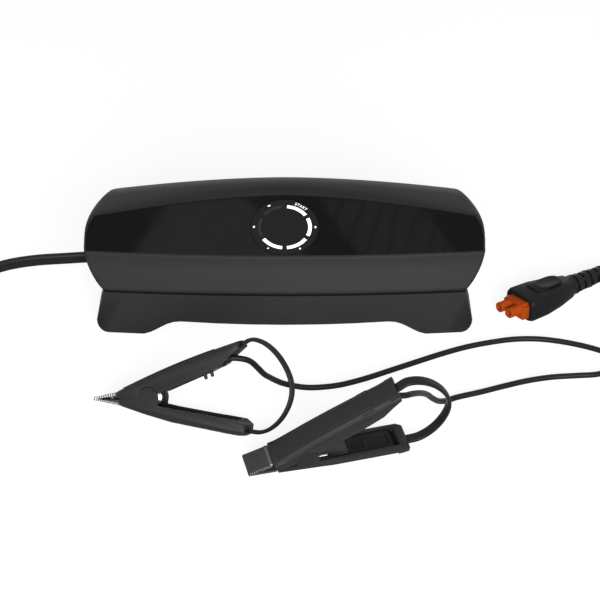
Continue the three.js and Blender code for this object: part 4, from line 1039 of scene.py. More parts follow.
@dataclass
class RibRow:
    """A row of small round-ended ribs, laid out by Geometry Nodes between two points.

    Attributes:
        name: The piece's name.
        start: Middle of the first rib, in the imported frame.
        end: Middle of the last rib.
        axis: The direction that each rib runs in.
        length: A rib's length, in metres.
        radius: A rib's radius, in metres.
        count: How many ribs there are.
    """

    name: str
    start: Vector
    end: Vector
    axis: Vector
    length: float
    radius: float
    count: int

    @classmethod
    def tree(cls) -> bpy.types.NodeTree:
        """Gives the rib row's node group, made on first use."""
        found = bpy.data.node_groups.get("rib_row")
        if found:
            return found
        group = bpy.data.node_groups.new("rib_row", "GeometryNodeTree")
        sockets = group.interface
        sockets.new_socket("Geometry", in_out="OUTPUT", socket_type="NodeSocketGeometry")
        for label, kind in (("Start", "Vector"), ("End", "Vector"), ("Reach", "Vector"), ("Radius", "Float"),
                            ("Count", "Int"), ("Material", "Material")):
            sockets.new_socket(label, in_out="INPUT", socket_type=f"NodeSocket{kind}")
        graph = Graph(group)
        inputs = graph.node("NodeGroupInput").outputs
        given = {item.name: Signal(graph, item) for item in inputs if item.name}
        points = graph.out("GeometryNodeMeshLine", {"mode": "END_POINTS"}, {
            "Count": given["Count"], "Start Location": given["Start"], "Offset": given["End"]})
        back = graph.out("ShaderNodeVectorMath", {"operation": "SCALE"}, {0: given["Reach"], "Scale": -1.0})
        line = graph.out("GeometryNodeCurvePrimitiveLine", None, {"Start": back, "End": given["Reach"]})
        ring = graph.out("GeometryNodeCurvePrimitiveCircle", None, {
            "Resolution": 10, "Radius": given["Radius"]})
        rib = graph.out("GeometryNodeCurveToMesh", None, {
            "Curve": line, "Profile Curve": ring, "Fill Caps": True})
        put = graph.out("GeometryNodeInstanceOnPoints", None, {"Points": points, "Instance": rib})
        real = graph.out("GeometryNodeRealizeInstances", None, {0: put})
        shaded = graph.out("GeometryNodeSetShadeSmooth", None, {0: real})
        dressed = graph.out("GeometryNodeSetMaterial", None, {
            "Geometry": shaded, "Material": given["Material"]})
        graph.node("NodeGroupOutput", None, {0: dressed})
        return group

    def build(self, slot: Slot, body: str = ROOT, finish: Optional[Finish] = None) -> Object:
        """Builds the row and bakes it to a plain mesh.

        Args:
            slot: The record's slot.
            body: The body that it rides on.
            finish: A finish other than the slot's own.

        Returns:
            The row.
        """
        piece = new_object(self.name, bpy.data.meshes.new(self.name))
        row = piece.modifiers.new("row", "NODES")
        row.node_group = self.tree()
        given = {"Start": tuple(self.start), "End": tuple(self.end), "Radius": self.radius,
                 "Reach": tuple(self.axis.normalized() * self.length / 2), "Count": self.count,
                 "Material": (finish or slot.finish).material()}
        for item in row.node_group.interface.items_tree:
            if item.name in given:
                row[item.identifier] = given[item.name]
        bake(piece)
        return dress(piece, slot, body, finish=finish)


# The studio


@dataclass
class Studio:
    """Camera, pale floor, plain world and soft lamps. The floor is in metres, the rest in millimetres."""

    target: Point = (9.0, 30.0, 4.2)
    distance: float = 1200.0
    elevation: float = 30.0
    lens: float = 120.0
    film: float = 36.0
    floor_half: float = 4.0
    floor_drop: float = 0.0004
    floor_glow: float = 1.18
    floor_share: float = 0.72
    room_light: float = 0.13
    card_height: float = 860.0

    def build_camera(self) -> None:
        """Puts the camera where the photograph's was."""
        camera = new_object("camera", bpy.data.cameras.new("camera"))
        lift = math.radians(self.elevation)
        back = Vector((0.0, -math.cos(lift), math.sin(lift))) * self.distance * MM
        camera.location = placed(*self.target) + back
        camera.rotation_euler = (math.pi / 2 - lift, 0.0, 0.0)
        put(camera.data, lens=self.lens, sensor_width=self.film, sensor_fit="HORIZONTAL",
            clip_start=0.05, clip_end=50.0)
        bpy.context.scene.camera = camera

    def build_floor(self) -> None:
        """Lays a plain pale floor that keeps the object's shadow."""
        floor = mesh_object("floor", [(self.floor_half * x, self.floor_half * y, -self.floor_drop)
                                      for x, y in ((-1, -1), (1, -1), (1, 1), (-1, 1))], [(0, 1, 2, 3)])
        bench = Bench("floor_paper")
        seen = bench.out("ShaderNodeLightPath", output="Is Camera Ray")
        paper = bench.noise(bench.place(), 0.0012, 2.0)
        diffuse = bench.out("ShaderNodeBsdfDiffuse", None, {
            "Color": bench.mix(paper, (0.86, 0.86, 0.86), (0.9, 0.9, 0.9)), "Roughness": 0.5})
        white = bench.out("ShaderNodeEmission", None, {"Color": (1, 1, 1, 1), "Strength": self.floor_glow})
        blend = bench.out("ShaderNodeMixShader", None, {0: seen * self.floor_share, 1: diffuse, 2: white})
        bench.tree.links.new(blend.socket, bench.output.inputs["Surface"])
        floor.data.materials.append(bench.material)

    def build_world(self) -> None:
        """Fills the room with plain light, white where it is seen or mirrored."""
        world = bpy.data.worlds.new("studio")
        world.use_nodes = True
        graph = Graph(world.node_tree)
        path = graph.node("ShaderNodeLightPath").outputs
        camera, glossy, through = (Signal(graph, path[f"Is {kind} Ray"]) for kind in
                                   ("Camera", "Glossy", "Transmission"))
        level = camera.most(glossy).most(through) * (1.0 - self.room_light) + self.room_light
        back = graph.out("ShaderNodeBackground", None, {"Color": (1, 1, 1, 1), "Strength": level})
        graph.node("ShaderNodeOutputWorld", None, {"Surface": back})
        bpy.context.scene.world = world

    def card(self, name: str, corners: Sequence[Pair], strength: float, veins: float) -> None:
        """Hangs a glowing card that the gloss panel mirrors.

        Args:
            name: Its name.
            corners: Its corners from above, anticlockwise, in layout millimetres.
            strength: How bright it glows.
            veins: Share of dark wavy veins across it.
        """
        card = mesh_object(name, [placed(x, y, self.card_height) for x, y in corners], [(3, 2, 1, 0)])
        bench = Bench(f"{name}_glow")
        wave = bench.out("ShaderNodeTexWave", {"wave_type": "BANDS", "bands_direction": "X"}, {
            "Vector": bench.place((1.0, 0.45, 1.0), (0, 0, 0.75)), "Scale": 17.0, "Distortion": 5.0,
            "Detail": 2.0, "Detail Scale": 1.2, "Detail Roughness": 0.5}, "Fac")
        dark = (1.0 - wave.ramp(0.0, 0.14)) * veins
        bench.surface(Base_Color=bench.mix(dark, (0.02, 0.02, 0.02), (0.0, 0.0, 0.0)), Roughness=0.8,
                      Emission_Color=bench.mix(dark, (1, 1, 1), (0.5, 0.5, 0.5)), Emission_Strength=strength)
        card.data.materials.append(bench.material)

    def lamp(self, name: str, place: Point, aim: Point, size: Pair, power: float) -> None:
        """Adds a soft oblong lamp.

        Args:
            name: Its name.
            place: Where it hangs, in layout millimetres.
            aim: What it points at.
            size: Its width and height, in metres.
            power: Its power, in watts.
        """
        data = bpy.data.lights.new(name, "AREA")
        put(data, shape="RECTANGLE", size=size[0], size_y=size[1], energy=power)
        lamp = new_object(name, data)
        lamp.location = placed(*place)
        lamp.rotation_euler = (placed(*aim) - lamp.location).to_track_quat("-Z", "Y").to_euler()

    def build(self) -> None:
        """Builds the whole studio."""
        self.build_camera()
        self.build_floor()
        self.build_world()
        self.lamp("front_box", (160, -1550, 560), (0, 20, 30), (1.2, 0.8), 39.5)
        self.lamp("left_box", (-1100, -700, 500), (0, 0, 20), (0.6, 0.6), 1.0)
        self.card("left_card", ((-263, 80), (105, 80), (-57, 200), (-155, 200)), 2.3, 0.0)
        self.card("right_card", ((150, 80), (281, 80), (167, 200), (36, 200)), 1.9, 1.0)
        self.lamp("rear_box", (0, 1600, 230), (0, 60, 30), (1.6, 0.5), 2.2)
        bpy.context.scene.view_settings.view_transform = "Standard"


# Leads


@dataclass
class MainsLead:
    """Flat twin mains lead: out of the housing's left end, down to the floor, into a coil and out again.

    Attributes:
        width: Across both cores, in millimetres like every size here.
        thickness: Across one core.
        exit_z: Height of the grommet.
        lead_y: The run's place across the model.
        coil_x: Middle of the coil along the model.
        outer: Radius of the coil's outer turn.
        pitch: From one turn to the next.
        layer: From one layer of turns to the next.
        turns: Turns of the coil.
        climb: Turns over which it climbs to the upper layer.
        dip: How far it draws in while it climbs.
        fall: How far it has dropped at places away from the grommet.
    """

    width: float = 7.0
    thickness: float = 4.0
    exit_z: float = 28.8
    lead_y: float = 39.0
    coil_x: float = -252.0
    outer: float = 46.0
    pitch: float = 4.5
    layer: float = 7.5
    turns: float = 6.25
    climb: float = 0.5
    dip: float = 2.4
    fall: tuple[Pair, ...] = (
        (4, 0), (20, 1), (38, 2.4), (55, 5.5), (72, 11.5), (88, 18), (102, 22.6))

    def coil_route(self, steps: int) -> list[Vector]:
        """Follows the coil in, up one layer and out again.

        Args:
            steps: Points for each turn.

        Returns:
            The route.
        """
        half = (self.turns - self.climb) / 2
        out = []
        total = round(self.turns * steps)
        for i in range(total + 1):
            turn = self.turns * i / total
            inwards = min(turn, half) if turn < self.turns / 2 else min(self.turns - turn, half)
            rise = min(1.0, max(0.0, (turn - half) / self.climb))
            share = min(1.0, max(0.0, (abs(turn - self.turns / 2) - self.climb / 2) / 0.25))
            dip = self.dip * (1 - share * share * (3 - 2 * share))
            radius = self.outer - inwards * self.pitch - dip
            angle = math.pi / 2 + turn * 2 * math.pi
            out.append(placed(self.coil_x + radius * math.cos(angle), self.lead_y - self.outer
                              + radius * math.sin(angle), self.width / 2 + rise * self.layer))
        return out

    def route(self) -> list[Vector]:
        """The whole lead's centreline, from the grommet to the plug."""
        start_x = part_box("mains_lead_run")[1].x / MM
        low = self.width / 2
        coil = self.coil_route(36)
        run = spline([
            placed(start_x, self.lead_y, self.exit_z),
            *[placed(start_x - away, self.lead_y, self.exit_z - drop) for away, drop in self.fall],
            *[placed(self.coil_x + before, self.lead_y, low + 0.1) for before in (12, 6)], coil[0]], 60)
        end = (coil[-1] - SHIFT) / MM
        tail = spline([coil[-1], *[placed(end.x + aside, end.y - on, z) for aside, on, z in (
            (0, 4, end.z), (0, 9, end.z - 0.6), (0.5, 18, 9), (2, 30, 7), (4, 40, 6.5), (5, 46, 6.5))]], 24)
        return [*run, *coil[1:], *tail[1:]]

    def build(self) -> None:
        path = self.route()
        lead = sweep("mains_lead", path, twin_section(self.width * MM, self.thickness * MM))
        dress(lead, Slot.CORD, replaces=("mains_lead_run", "mains_lead_coil", "mains_lead_tail"))
        refit("lead_grommet", "grommet", 0.0005, Slot.RUBBER)


@dataclass
class Harness:
    """The loose harness: two clamp wires and a flat twin lead that meet in the junction.

    Sizes and route points are in layout millimetres.
    """

    wire: float = 3.3
    landing: float = 5.0
    twin_width: float = 7.0
    twin_thickness: float = 3.6
    junction_face: Pair = (203.7, 224.3)
    junction_y: float = -38.0
    junction_z: float = 3.2
    mouth: float = 3.2
    in_arm: Pair = (4.2, 3.8)
    from_end: float = 15.0
    first: tuple[Point, ...] = (
        (-20.3, -87, 34.5), (-17.1, -84.7, 31.2), (-13.9, -83.2, 26.7), (-10.7, -81, 21.5), (-7.5, -75.9, 16),
        (-4.3, -70.9, 10.9), (-1, -66.7, 6.6), (2.8, -63.8, 3.6), (9, -63.2, 1.85), (15.7, -64, 1.85),
        (29.2, -61.9, 1.85), (42.8, -56.1, 1.85), (63.6, -43.9, 1.85), (91.9, -27.1, 1.85),
        (106.3, -19.9, 1.85), (120.6, -14.8, 1.85), (134.8, -11.5, 1.85), (148.8, -11.5, 1.85),
        (162.4, -14.8, 1.85), (175.7, -20.4, 1.85), (185, -26, 1.85), (193.5, -32, 2.25))
    second: tuple[Point, ...] = (
        (62.8, -131, 39.6), (67.8, -124.1, 36.2), (72.9, -112.2, 29.1), (77.5, -100.3, 20.6),
        (81.5, -91.3, 12.2), (85.5, -83.7, 5.6), (90, -77.8, 2.05), (95.6, -74.3, 1.85), (109.4, -68.7, 1.85),
        (123.4, -62.4, 1.85), (137.4, -56.7, 1.85), (151.3, -53, 1.85), (165, -51.4, 1.85),
        (177.4, -49.9, 1.85), (190, -44.4, 2.05))
    twin: tuple[Point, ...] = (
        (222, 73.5, 4), (236, 72, 2), (249, 64, 2), (257, 50, 2), (260, 33, 2), (260, 14, 2), (258, -5, 2),
        (252, -21, 2), (243, -32, 2.4), (231, -37.6, 3))

    def wire_route(self, clamp: "Clamp", middle: Sequence[Point], side: float) -> list[Vector]:
        """Follows a clamp's wire from inside its upper arm to the junction.

        Args:
            clamp: The clamp.
            middle: Points between, in layout millimetres.
            side: Which of the junction's two mouths, +1 or -1.

        Returns:
            The route, from the clamp on.
        """
        face = self.junction_face[0]
        stop = clamp.arm_end - self.from_end
        y = self.junction_y + side * self.mouth
        return spline([
            *[clamp.on_upper_arm(stop + more, *self.in_arm) for more in (0.3, 5)],
            *[placed(*point) for point in middle],
            placed(face - 4, y, self.junction_z - 0.1), placed(face, y, self.junction_z)], 150)

    def build_wires(self, clamps: Sequence["Clamp"]) -> None:
        """Builds both clamp wires.

        Args:
            clamps: The two clamps.
        """
        for clamp, middle, side in zip(clamps, (self.first, self.second), (1, -1)):
            path = self.wire_route(clamp, middle, side)
            wire = sweep(f"{clamp.name}_lead", path, round_section(self.wire * MM))
            landing = next(point for point in path if point.z < self.landing * MM)
            dress(wire, Slot.CORD, clamp.upper, (f"{clamp.name}_wire",), bend=(landing, path[0]))

    def build_twin(self) -> None:
        face = self.junction_face[1]
        path = spline([
            *[placed(x, self.junction_y, self.junction_z) for x in (face, face + 3)],
            *[placed(*point) for point in self.twin[::-1]], connector_point(9), connector_point(0)], 110)
        # An upright this short keeps the lead's first sideways direction all along, so that it never twists.
        lead = sweep("harness_lead", path, twin_section(self.twin_width * MM, self.twin_thickness * MM),
                     upright=Vector((0.0001, 0, 0)))
        dress(lead, Slot.CORD, replaces=("connector_lead",))


def connector_at(x: float, y: float, z: float) -> Vector:
    """A point of the connector's own frame, in millimetres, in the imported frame."""
    along, across = math.cos(CONNECTOR_YAW), math.sin(CONNECTOR_YAW)
    return placed(CONNECTOR_FOOT[0] + along * x - across * y, CONNECTOR_FOOT[1] + across * x + along * y, z)


def connector_point(more: float) -> Vector:
    """A point behind the connector's boot, more millimetres further along its lead, which drops slowly."""
    return connector_at(87.0 + more, 0.0, 7.5 - more * 0.15)


@dataclass
class Connector:
    """The keyed connector: a dark shell with a thumb pad, an orange insert and a slotted boot.

    Attributes:
        pad: Half the thumb pad's length and width, in millimetres.
        pad_at: The pad's middle along the connector.
        top: Height of the shell's top face.
        boot_from: Where the boot's first ring begins.
        boot_length: The boot's length.
        boot_radii: The boot's radii at its two ends.
        boot_rings: How many rings the boot has.
        axis_height: Height of the boot's axis.
        groove_at: Middle of a groove, as a share of the pitch.
        bridge_depth: How far a bridge's axis lies under the rings.
        bridge: A bridge's length and radius, in metres.
    """

    pad: Pair = (9.5, 5.6)
    pad_at: float = 34.0
    top: float = 15.9
    boot_from: float = 50.3
    boot_length: float = 34.0
    boot_radii: Pair = (6.4, 4.6)
    boot_rings: int = 6
    axis_height: float = 7.5
    groove_at: float = 0.81
    bridge_depth: float = 0.85
    bridge: Pair = (0.0026, 0.0009)

    def build(self) -> None:
        """Builds and dresses the connector's pieces."""
        pitch = self.boot_length / self.boot_rings
        ahead = connector_at(1, 0, 0) - connector_at(0, 0, 0)
        # The boot's rubber has painted shade in the grooves between its rings; the bridges keep the plain
        # rubber.
        groove_shaded = GrooveShadedRubber(
            "ringed_rubber", *astuple(BOOT_RUBBER)[1:], pitch=pitch * MM, ahead=tuple(ahead.normalized()),
            start=tuple(connector_at(self.boot_from, 0, 0)))
        refit("connector_shell", "connector_body", 0.0004, Slot.SOCKET)
        refit("connector_insert", "connector_core", 0.00025, Slot.ORANGE)
        refit("connector_boot", "connector_relief", 0.0002, Slot.RUBBER, finish=groove_shaded)
        self.build_pad()
        for first, angle in ((0, 45), (0, 225), (1, 135), (1, 315)):
            self.build_bridges(first, angle, pitch, ahead)

    def build_bridges(self, first: int, angle: float, pitch: float, ahead: Vector) -> None:
        """Bridges every other groove of the boot at one angle, so that the grooves end as short slots.

        Args:
            first: The first groove.
            angle: Where they lie round the boot, in degrees.
            pitch: From one ring to the next.
            ahead: The boot's direction.
        """
        turn = math.radians(angle)
        ends = []
        for ring in (first, first + self.boot_rings - 2):
            x = pitch * (ring + self.groove_at)
            wide, slim = self.boot_radii
            reach = wide + (slim - wide) * x / self.boot_length - self.bridge_depth
            ends.append(connector_at(self.boot_from + x, math.cos(turn) * reach,
                                     self.axis_height + math.sin(turn) * reach))
        RibRow(f"boot_bridges_{angle}", *ends, ahead, *self.bridge, self.boot_rings // 2).build(
            Slot.RUBBER, finish=BOOT_RUBBER)

    def build_pad(self) -> None:
        """Lays the raised oval thumb pad on the shell, ring by ring from its foot to its dished middle."""
        long, wide = self.pad
        rings = ((1.0, -0.5), (1.0, 0.15), (0.93, 0.45), (0.80, 0.5), (0.72, 0.32))
        verts = [connector_at(self.pad_at + x * long * grow, y * wide * grow, self.top + rise)
                 for grow, rise in rings for x, y in oval(40, (0.7, 0.7))]
        pad = mesh_object("connector_pad", verts, ring_faces(len(rings), 40))
        pad.data.set_sharp_from_angle(angle=math.radians(50))
        dress(pad, Slot.SOCKET)


@dataclass
class Junction:
    """The moulded block where the two clamp wires and the flat lead meet."""

    def build(self) -> None:
        """Builds and dresses the block."""
        refit("lead_junction", "junction_block", 0.0009, Slot.RUBBER)


@dataclass
class CoilTie:
    """The hook-and-loop strap that holds the mains lead's coil together.

    Attributes:
        angle: Where it goes round the coil, in degrees.
        width: Its width, in millimetres.
        thickness: Its thickness, in millimetres.
        play: Its gap to the lead, in millimetres.
        corner: Radius of its bends, in millimetres.
        steps: Points on each turn of the coil that its reach is read from.
    """

    angle: float = 135.0
    width: float = 12.0
    thickness: float = 1.1
    play: float = 0.2
    corner: float = 2.4
    steps: int = 900

    def build(self, lead: MainsLead) -> None:
        """Wraps the strap round all turns.

        Args:
            lead: The lead whose coil it holds.
        """
        turn = math.radians(self.angle)
        outward = Vector((math.cos(turn), math.sin(turn), 0.0))
        middle = placed(lead.coil_x, lead.lead_y - lead.outer, 0.0)
        half = self.thickness / 2
        side = outward.cross(UP)
        held = [point - middle for point in lead.coil_route(self.steps)]
        reaches = [point.dot(outward) / MM for point in held
                   if abs(point.dot(side)) < self.width * MM / 2 and point.dot(outward) > 0]
        inner = min(reaches) - lead.thickness / 2 - half - self.play
        outer = max(reaches) + lead.thickness / 2 + half + self.play
        high = lead.width + lead.layer + half + self.play
        corner = self.corner
        path = []
        for x, z, start in ((outer - corner, high - corner, 0), (inner + corner, high - corner, 90),
                            (inner + corner, half + corner, 180), (outer - corner, half + corner, 270)):
            for i in range(7):
                bend = math.radians(start + 15 * i)
                path.append((x + corner * math.cos(bend), z + corner * math.sin(bend)))
        verts: list[Vector] = []
        section = [(-0.5, -0.5), (-0.46, 0.5), (0.46, 0.5), (0.5, -0.5)]
        count = len(path)
        for i, (r, z) in enumerate(path):
            (r0, z0), (r1, z1) = path[i - 1], path[(i + 1) % count]
            along = Vector((r1 - r0, z1 - z0)).normalized()
            for u, v in section:
                reach, rise = r + along.y * v * self.thickness, z - along.x * v * self.thickness
                verts.append(middle + outward * reach * MM + UP * rise * MM + side * u * self.width * MM)
        strap = mesh_object("coil_tie", verts, ring_faces(count, len(section), True))
        strap.data.set_sharp_from_angle(angle=math.radians(40))
        dress(strap, Slot.RUBBER)


@dataclass
class Plug:
    """The two-pin mains plug, with grip ribs on its top face.

    Attributes:
        rib: Length and radius of a rib, in millimetres.
        rib_reach: How far behind the plug's middle the first and the last rib lie, in millimetres.
        count: How many ribs there are.
    """

    rib: Pair = (9.0, 0.45)
    rib_reach: Pair = (9.0, -1.0)
    count: int = 6

    def build(self) -> None:
        """Builds and dresses the plug and its pins."""
        body = refit("mains_plug", "plug_body", 0.0012, Slot.RUBBER)
        for i in (1, 2):
            refit(f"mains_plug_pin_{i}", f"plug_pin_{i}", 0.0004, Slot.BRASS)
        pins = [middle_of(f"mains_plug_pin_{i}") for i in (1, 2)]
        across = (pins[1] - pins[0]).normalized()
        ahead = across.cross(UP).normalized()
        middle = middle_of("mains_plug")
        if (((pins[0] + pins[1]) / 2) - middle).dot(ahead) < 0:
            ahead = -ahead
        ends = []
        for back in self.rib_reach:
            place = middle - ahead * back * MM
            hit, point, _, _ = body.ray_cast(Vector((place.x, place.y, 1.0)), -UP)
            ends.append(point if hit else Vector((place.x, place.y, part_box("mains_plug")[1].z)))
        long, radius = self.rib
        RibRow("plug_ribs_top", *ends, across, long * MM, radius * MM, self.count).build(Slot.RUBBER)


@dataclass
class Clamp:
    """A spring clamp: two moulded arms, toothed jaws, a pivot spring and a bridging strap.

    Sizes are in millimetres and angles in degrees. The loop is given as shares of its span.
    """

    name: str
    yaw: float
    roll: float
    length: float = 89.0
    pivot_x: float = 32.0
    pivot_z: float = 10.8
    angle: float = 31.5
    jaw_half: float = 6.6
    strap_width: float = 5.5
    strap_thickness: float = 2.2
    strap_past: float = 0.3
    strap_heights: Pair = (8.2, 3.2)
    spring_radius: float = 4.1
    spring_half: float = 3.6
    spring_turns: int = 4
    spring_spare: float = 26.0
    spring_wire: float = 1.2
    spring_tail: Point = (44.0, 40.0, 36.0)
    spring_leg: tuple[Pair, ...] = ((3.0, 4.2), (8.0, 4.9), (17.0, 6.9), (26.0, 8.6))
    arm_back: float = 10.4
    arm_bulge: float = 1.4
    pegs: Pair = (35.0, 39.0)
    peg_side: float = -4.6
    peg_heights: Pair = (1.6, -2.2)
    peg_width: float = 2.1
    bead_side: float = 4.7
    bead_width: float = 0.7
    bead_sunk: float = 0.06
    bead_from: float = -12.5
    ears: float = 16.0
    ribs: tuple[Pair, Pair] = ((58.4, 6.9), (64.4, 7.45))
    ribs_side: float = -1.0
    rib_size: Pair = (4.2, 0.4)
    rib_count: int = 5
    upper_teeth: tuple[Pair, Pair] = ((1.0, 5.35), (12.2, 9.36))
    lower_teeth: tuple[Pair, Pair] = ((1.4, 4.5), (14.8, 4.5))
    tooth_heights: Pair = (1.6, 1.2)
    tooth_radius: float = 0.22
    tooth_count: int = 12
    lip: tuple[Pair, Pair] = ((11.3, 9.86), (12.8, 10.42))
    lip_size: Pair = (1.7, 0.5)
    loop: tuple[Pair, ...] = (
        (-0.047, 0.119), (-0.004, 0.258), (0.112, 0.392), (0.279, 0.498), (0.453, 0.555), (0.604, 0.552),
        (0.754, 0.495), (0.892, 0.392), (0.987, 0.261), (1.02, 0.141))

    @property
    def arm_end(self) -> float:
        """The upper arm's length past the pivot."""
        return self.length - self.pivot_x + 2

    @property
    def upper(self) -> str:
        """The body that the upper arm belongs to."""
        return f"{self.name}_upper"

    def matrix(self) -> Matrix:
        """The clamp's place: rolled about its length, then turned and moved."""
        turn = (Matrix.Rotation(math.radians(self.yaw), 4, "Z")
                @ Matrix.Rotation(-math.radians(self.roll), 4, "X"))
        pivot = turn @ (Vector((self.pivot_x, 0, self.pivot_z)) * MM)
        return Matrix.Translation(middle_of(f"{self.name}_pivot_pin") - pivot) @ turn

    def at(self, x: float, y: float, z: float) -> Vector:
        """A point of the clamp's own frame, in millimetres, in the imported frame."""
        return self.matrix() @ (Vector((x, y, z)) * MM)

    def axis(self, x: float, y: float, z: float) -> Vector:
        """A step in the clamp's own frame, in millimetres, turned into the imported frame."""
        return self.at(x, y, z) - self.at(0, 0, 0)

    def on_upper_arm(self, a: float, y: float, b: float) -> Vector:
        """A point along and across the upper arm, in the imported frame."""
        turn = math.radians(self.angle)
        return self.at(self.pivot_x + a * math.cos(turn) - b * math.sin(turn), y,
                       self.pivot_z + a * math.sin(turn) + b * math.cos(turn))

    def strap_route(self) -> list[Vector]:
        """The bridging strap's centreline, from the upper arm's end to the lower arm's."""
        upper, lower = self.strap_heights
        start = self.on_upper_arm(self.arm_end + self.strap_past, 0, upper)
        end = self.at(self.length + self.strap_past, 0, lower)
        down = end - start
        out = down.cross(self.axis(0, 1, 0)).normalized() * down.length
        return spline([start, *[start + down * share + out * reach for share, reach in self.loop], end], 60)

    def build(self) -> None:
        """Builds the clamp's pieces."""
        path = self.strap_route()
        section = [(x * self.strap_width / 2 * MM, y * self.strap_thickness / 2 * MM)
                   for x, y in oval(20, (0.5, 0.8))]
        strap = sweep(f"{self.name}_strap", path, section, upright=self.axis(0, 1, 0).normalized())
        dress(strap, Slot.CORD, self.upper, (f"{self.name}_jumper",), bend=(path[-1], path[0]))
        for part, slot, body, rounding in (
                ("lower_arm", Slot.CLAMP, ROOT, 0.0006), ("upper_arm", Slot.CLAMP, self.upper, 0.0006),
                ("conductor_cover", Slot.SOCKET, ROOT, 0.0004)):
            refit(f"{self.name}_{part}", f"{self.name}_{part}_shell", rounding, slot, body)
        finish_node(f"{self.name}_pivot_pin", Slot.STEEL)
        self.build_trim()
        self.build_jaws()
        self.build_spring()

    def build_trim(self) -> None:
        """Builds the pegs that the wire runs over, the beads along the upper arm and the cover's ribs."""
        across = self.axis(0, 1, 0)
        high, low = self.peg_heights
        for i, along in enumerate(self.pegs, 1):
            line = evenly([self.on_upper_arm(along, self.peg_side, high),
                           self.on_upper_arm(along - 0.4, self.peg_side, low)], 6)
            dress(sweep(f"{self.name}_peg_{i}", line, round_section(self.peg_width * MM, 14), upright=across,
                        scale=lambda d: 1.0 - 0.35 * (d / ((high - low) * MM)) ** 4), Slot.CLAMP, self.upper)
        for side, word in SIDES:
            line = [self.on_upper_arm(
                a, side * self.bead_side, self.arm_back + self.arm_bulge
                * math.sin(math.pi * (a + self.ears) / (self.arm_end + self.ears)) - self.bead_sunk)
                for a in np.linspace(self.bead_from, self.arm_end - 14.0, 24)]
            dress(sweep(f"{self.name}_bead_{word}", line, round_section(self.bead_width * MM, 10),
                        upright=across), Slot.CLAMP, self.upper)
        long, radius = self.rib_size
        RibRow(f"{self.name}_cover_ribs", *[self.at(x, self.ribs_side, z) for x, z in self.ribs], across,
               long * MM, radius * MM, self.rib_count).build(Slot.SOCKET)

    def build_jaws(self) -> None:
        """Builds the jaws with their serrated edges and the lip beside each arm, in three tones of one steel
        with painted reflections: dark on the plates, lighter on the lips, bright on the serrations.
        """
        for part, body in (("lower_jaw", ROOT), ("upper_jaw", self.upper)):
            refit(f"{self.name}_{part}", f"{self.name}_{part}_plate", 0.00022, Slot.STEEL, body, JAW_STEEL_DARK_REFLECTION)
        rise = self.axis(0, 0, 1)
        for side, word in SIDES:
            edge = side * (self.jaw_half + 0.02)
            for part, ends, tall, body in zip(("upper", "lower"), (self.upper_teeth, self.lower_teeth),
                                              self.tooth_heights, (self.upper, ROOT)):
                RibRow(f"{self.name}_{part}_serration_{word}", *[self.at(x, edge, z) for x, z in ends], rise,
                       tall * MM, self.tooth_radius * MM, self.tooth_count).build(Slot.STEEL, body, SERRATION_STEEL_BRIGHT_REFLECTION)
        start, end = (self.at(x, 0, z) for x, z in self.lip)
        middle, lean = (start + end) / 2, (end - start).normalized()
        reach = self.axis(0, 1, 0).normalized() * (self.jaw_half + 0.05) * MM
        high, thick = self.lip_size
        lip = sweep(f"{self.name}_lip", evenly([middle - reach, middle + reach], 8),
                    [(u * high * MM, v * thick * MM) for u, v in round_section(1.0)], upright=lean)
        dress(lip, Slot.STEEL, self.upper, finish=LIP_STEEL_LIGHTER_REFLECTION)

    def build_spring(self) -> None:
        """Builds the torsion spring: the coil rides with the lower arm, its upper leg with the upper arm."""
        radius, half, turns = self.spring_radius, self.spring_half, self.spring_turns
        first, last = -90.0, 90.0 + self.angle - 360.0 * turns - self.spring_spare
        count = 30 * turns
        wire = round_section(self.spring_wire * MM, 10)
        coil = [self.at(x, -half, self.pivot_z - radius) for x in self.spring_tail]
        for i in range(count + 1):
            angle = math.radians(first + (last - first) * i / count)
            coil.append(self.at(self.pivot_x + radius * math.cos(angle), -half + 2 * half * i / count,
                                self.pivot_z + radius * math.sin(angle)))
        body = sweep(f"{self.name}_spring_coil", evenly(coil, 34 * turns), wire)
        dress(body, Slot.STEEL, replaces=(f"{self.name}_spring",))
        arm = [self.on_upper_arm(a, half, b) for a, b in ((0.0, radius), *self.spring_leg)]
        dress(sweep(f"{self.name}_spring_leg", evenly(spline(arm, 20), 20), wire), Slot.STEEL, self.upper)


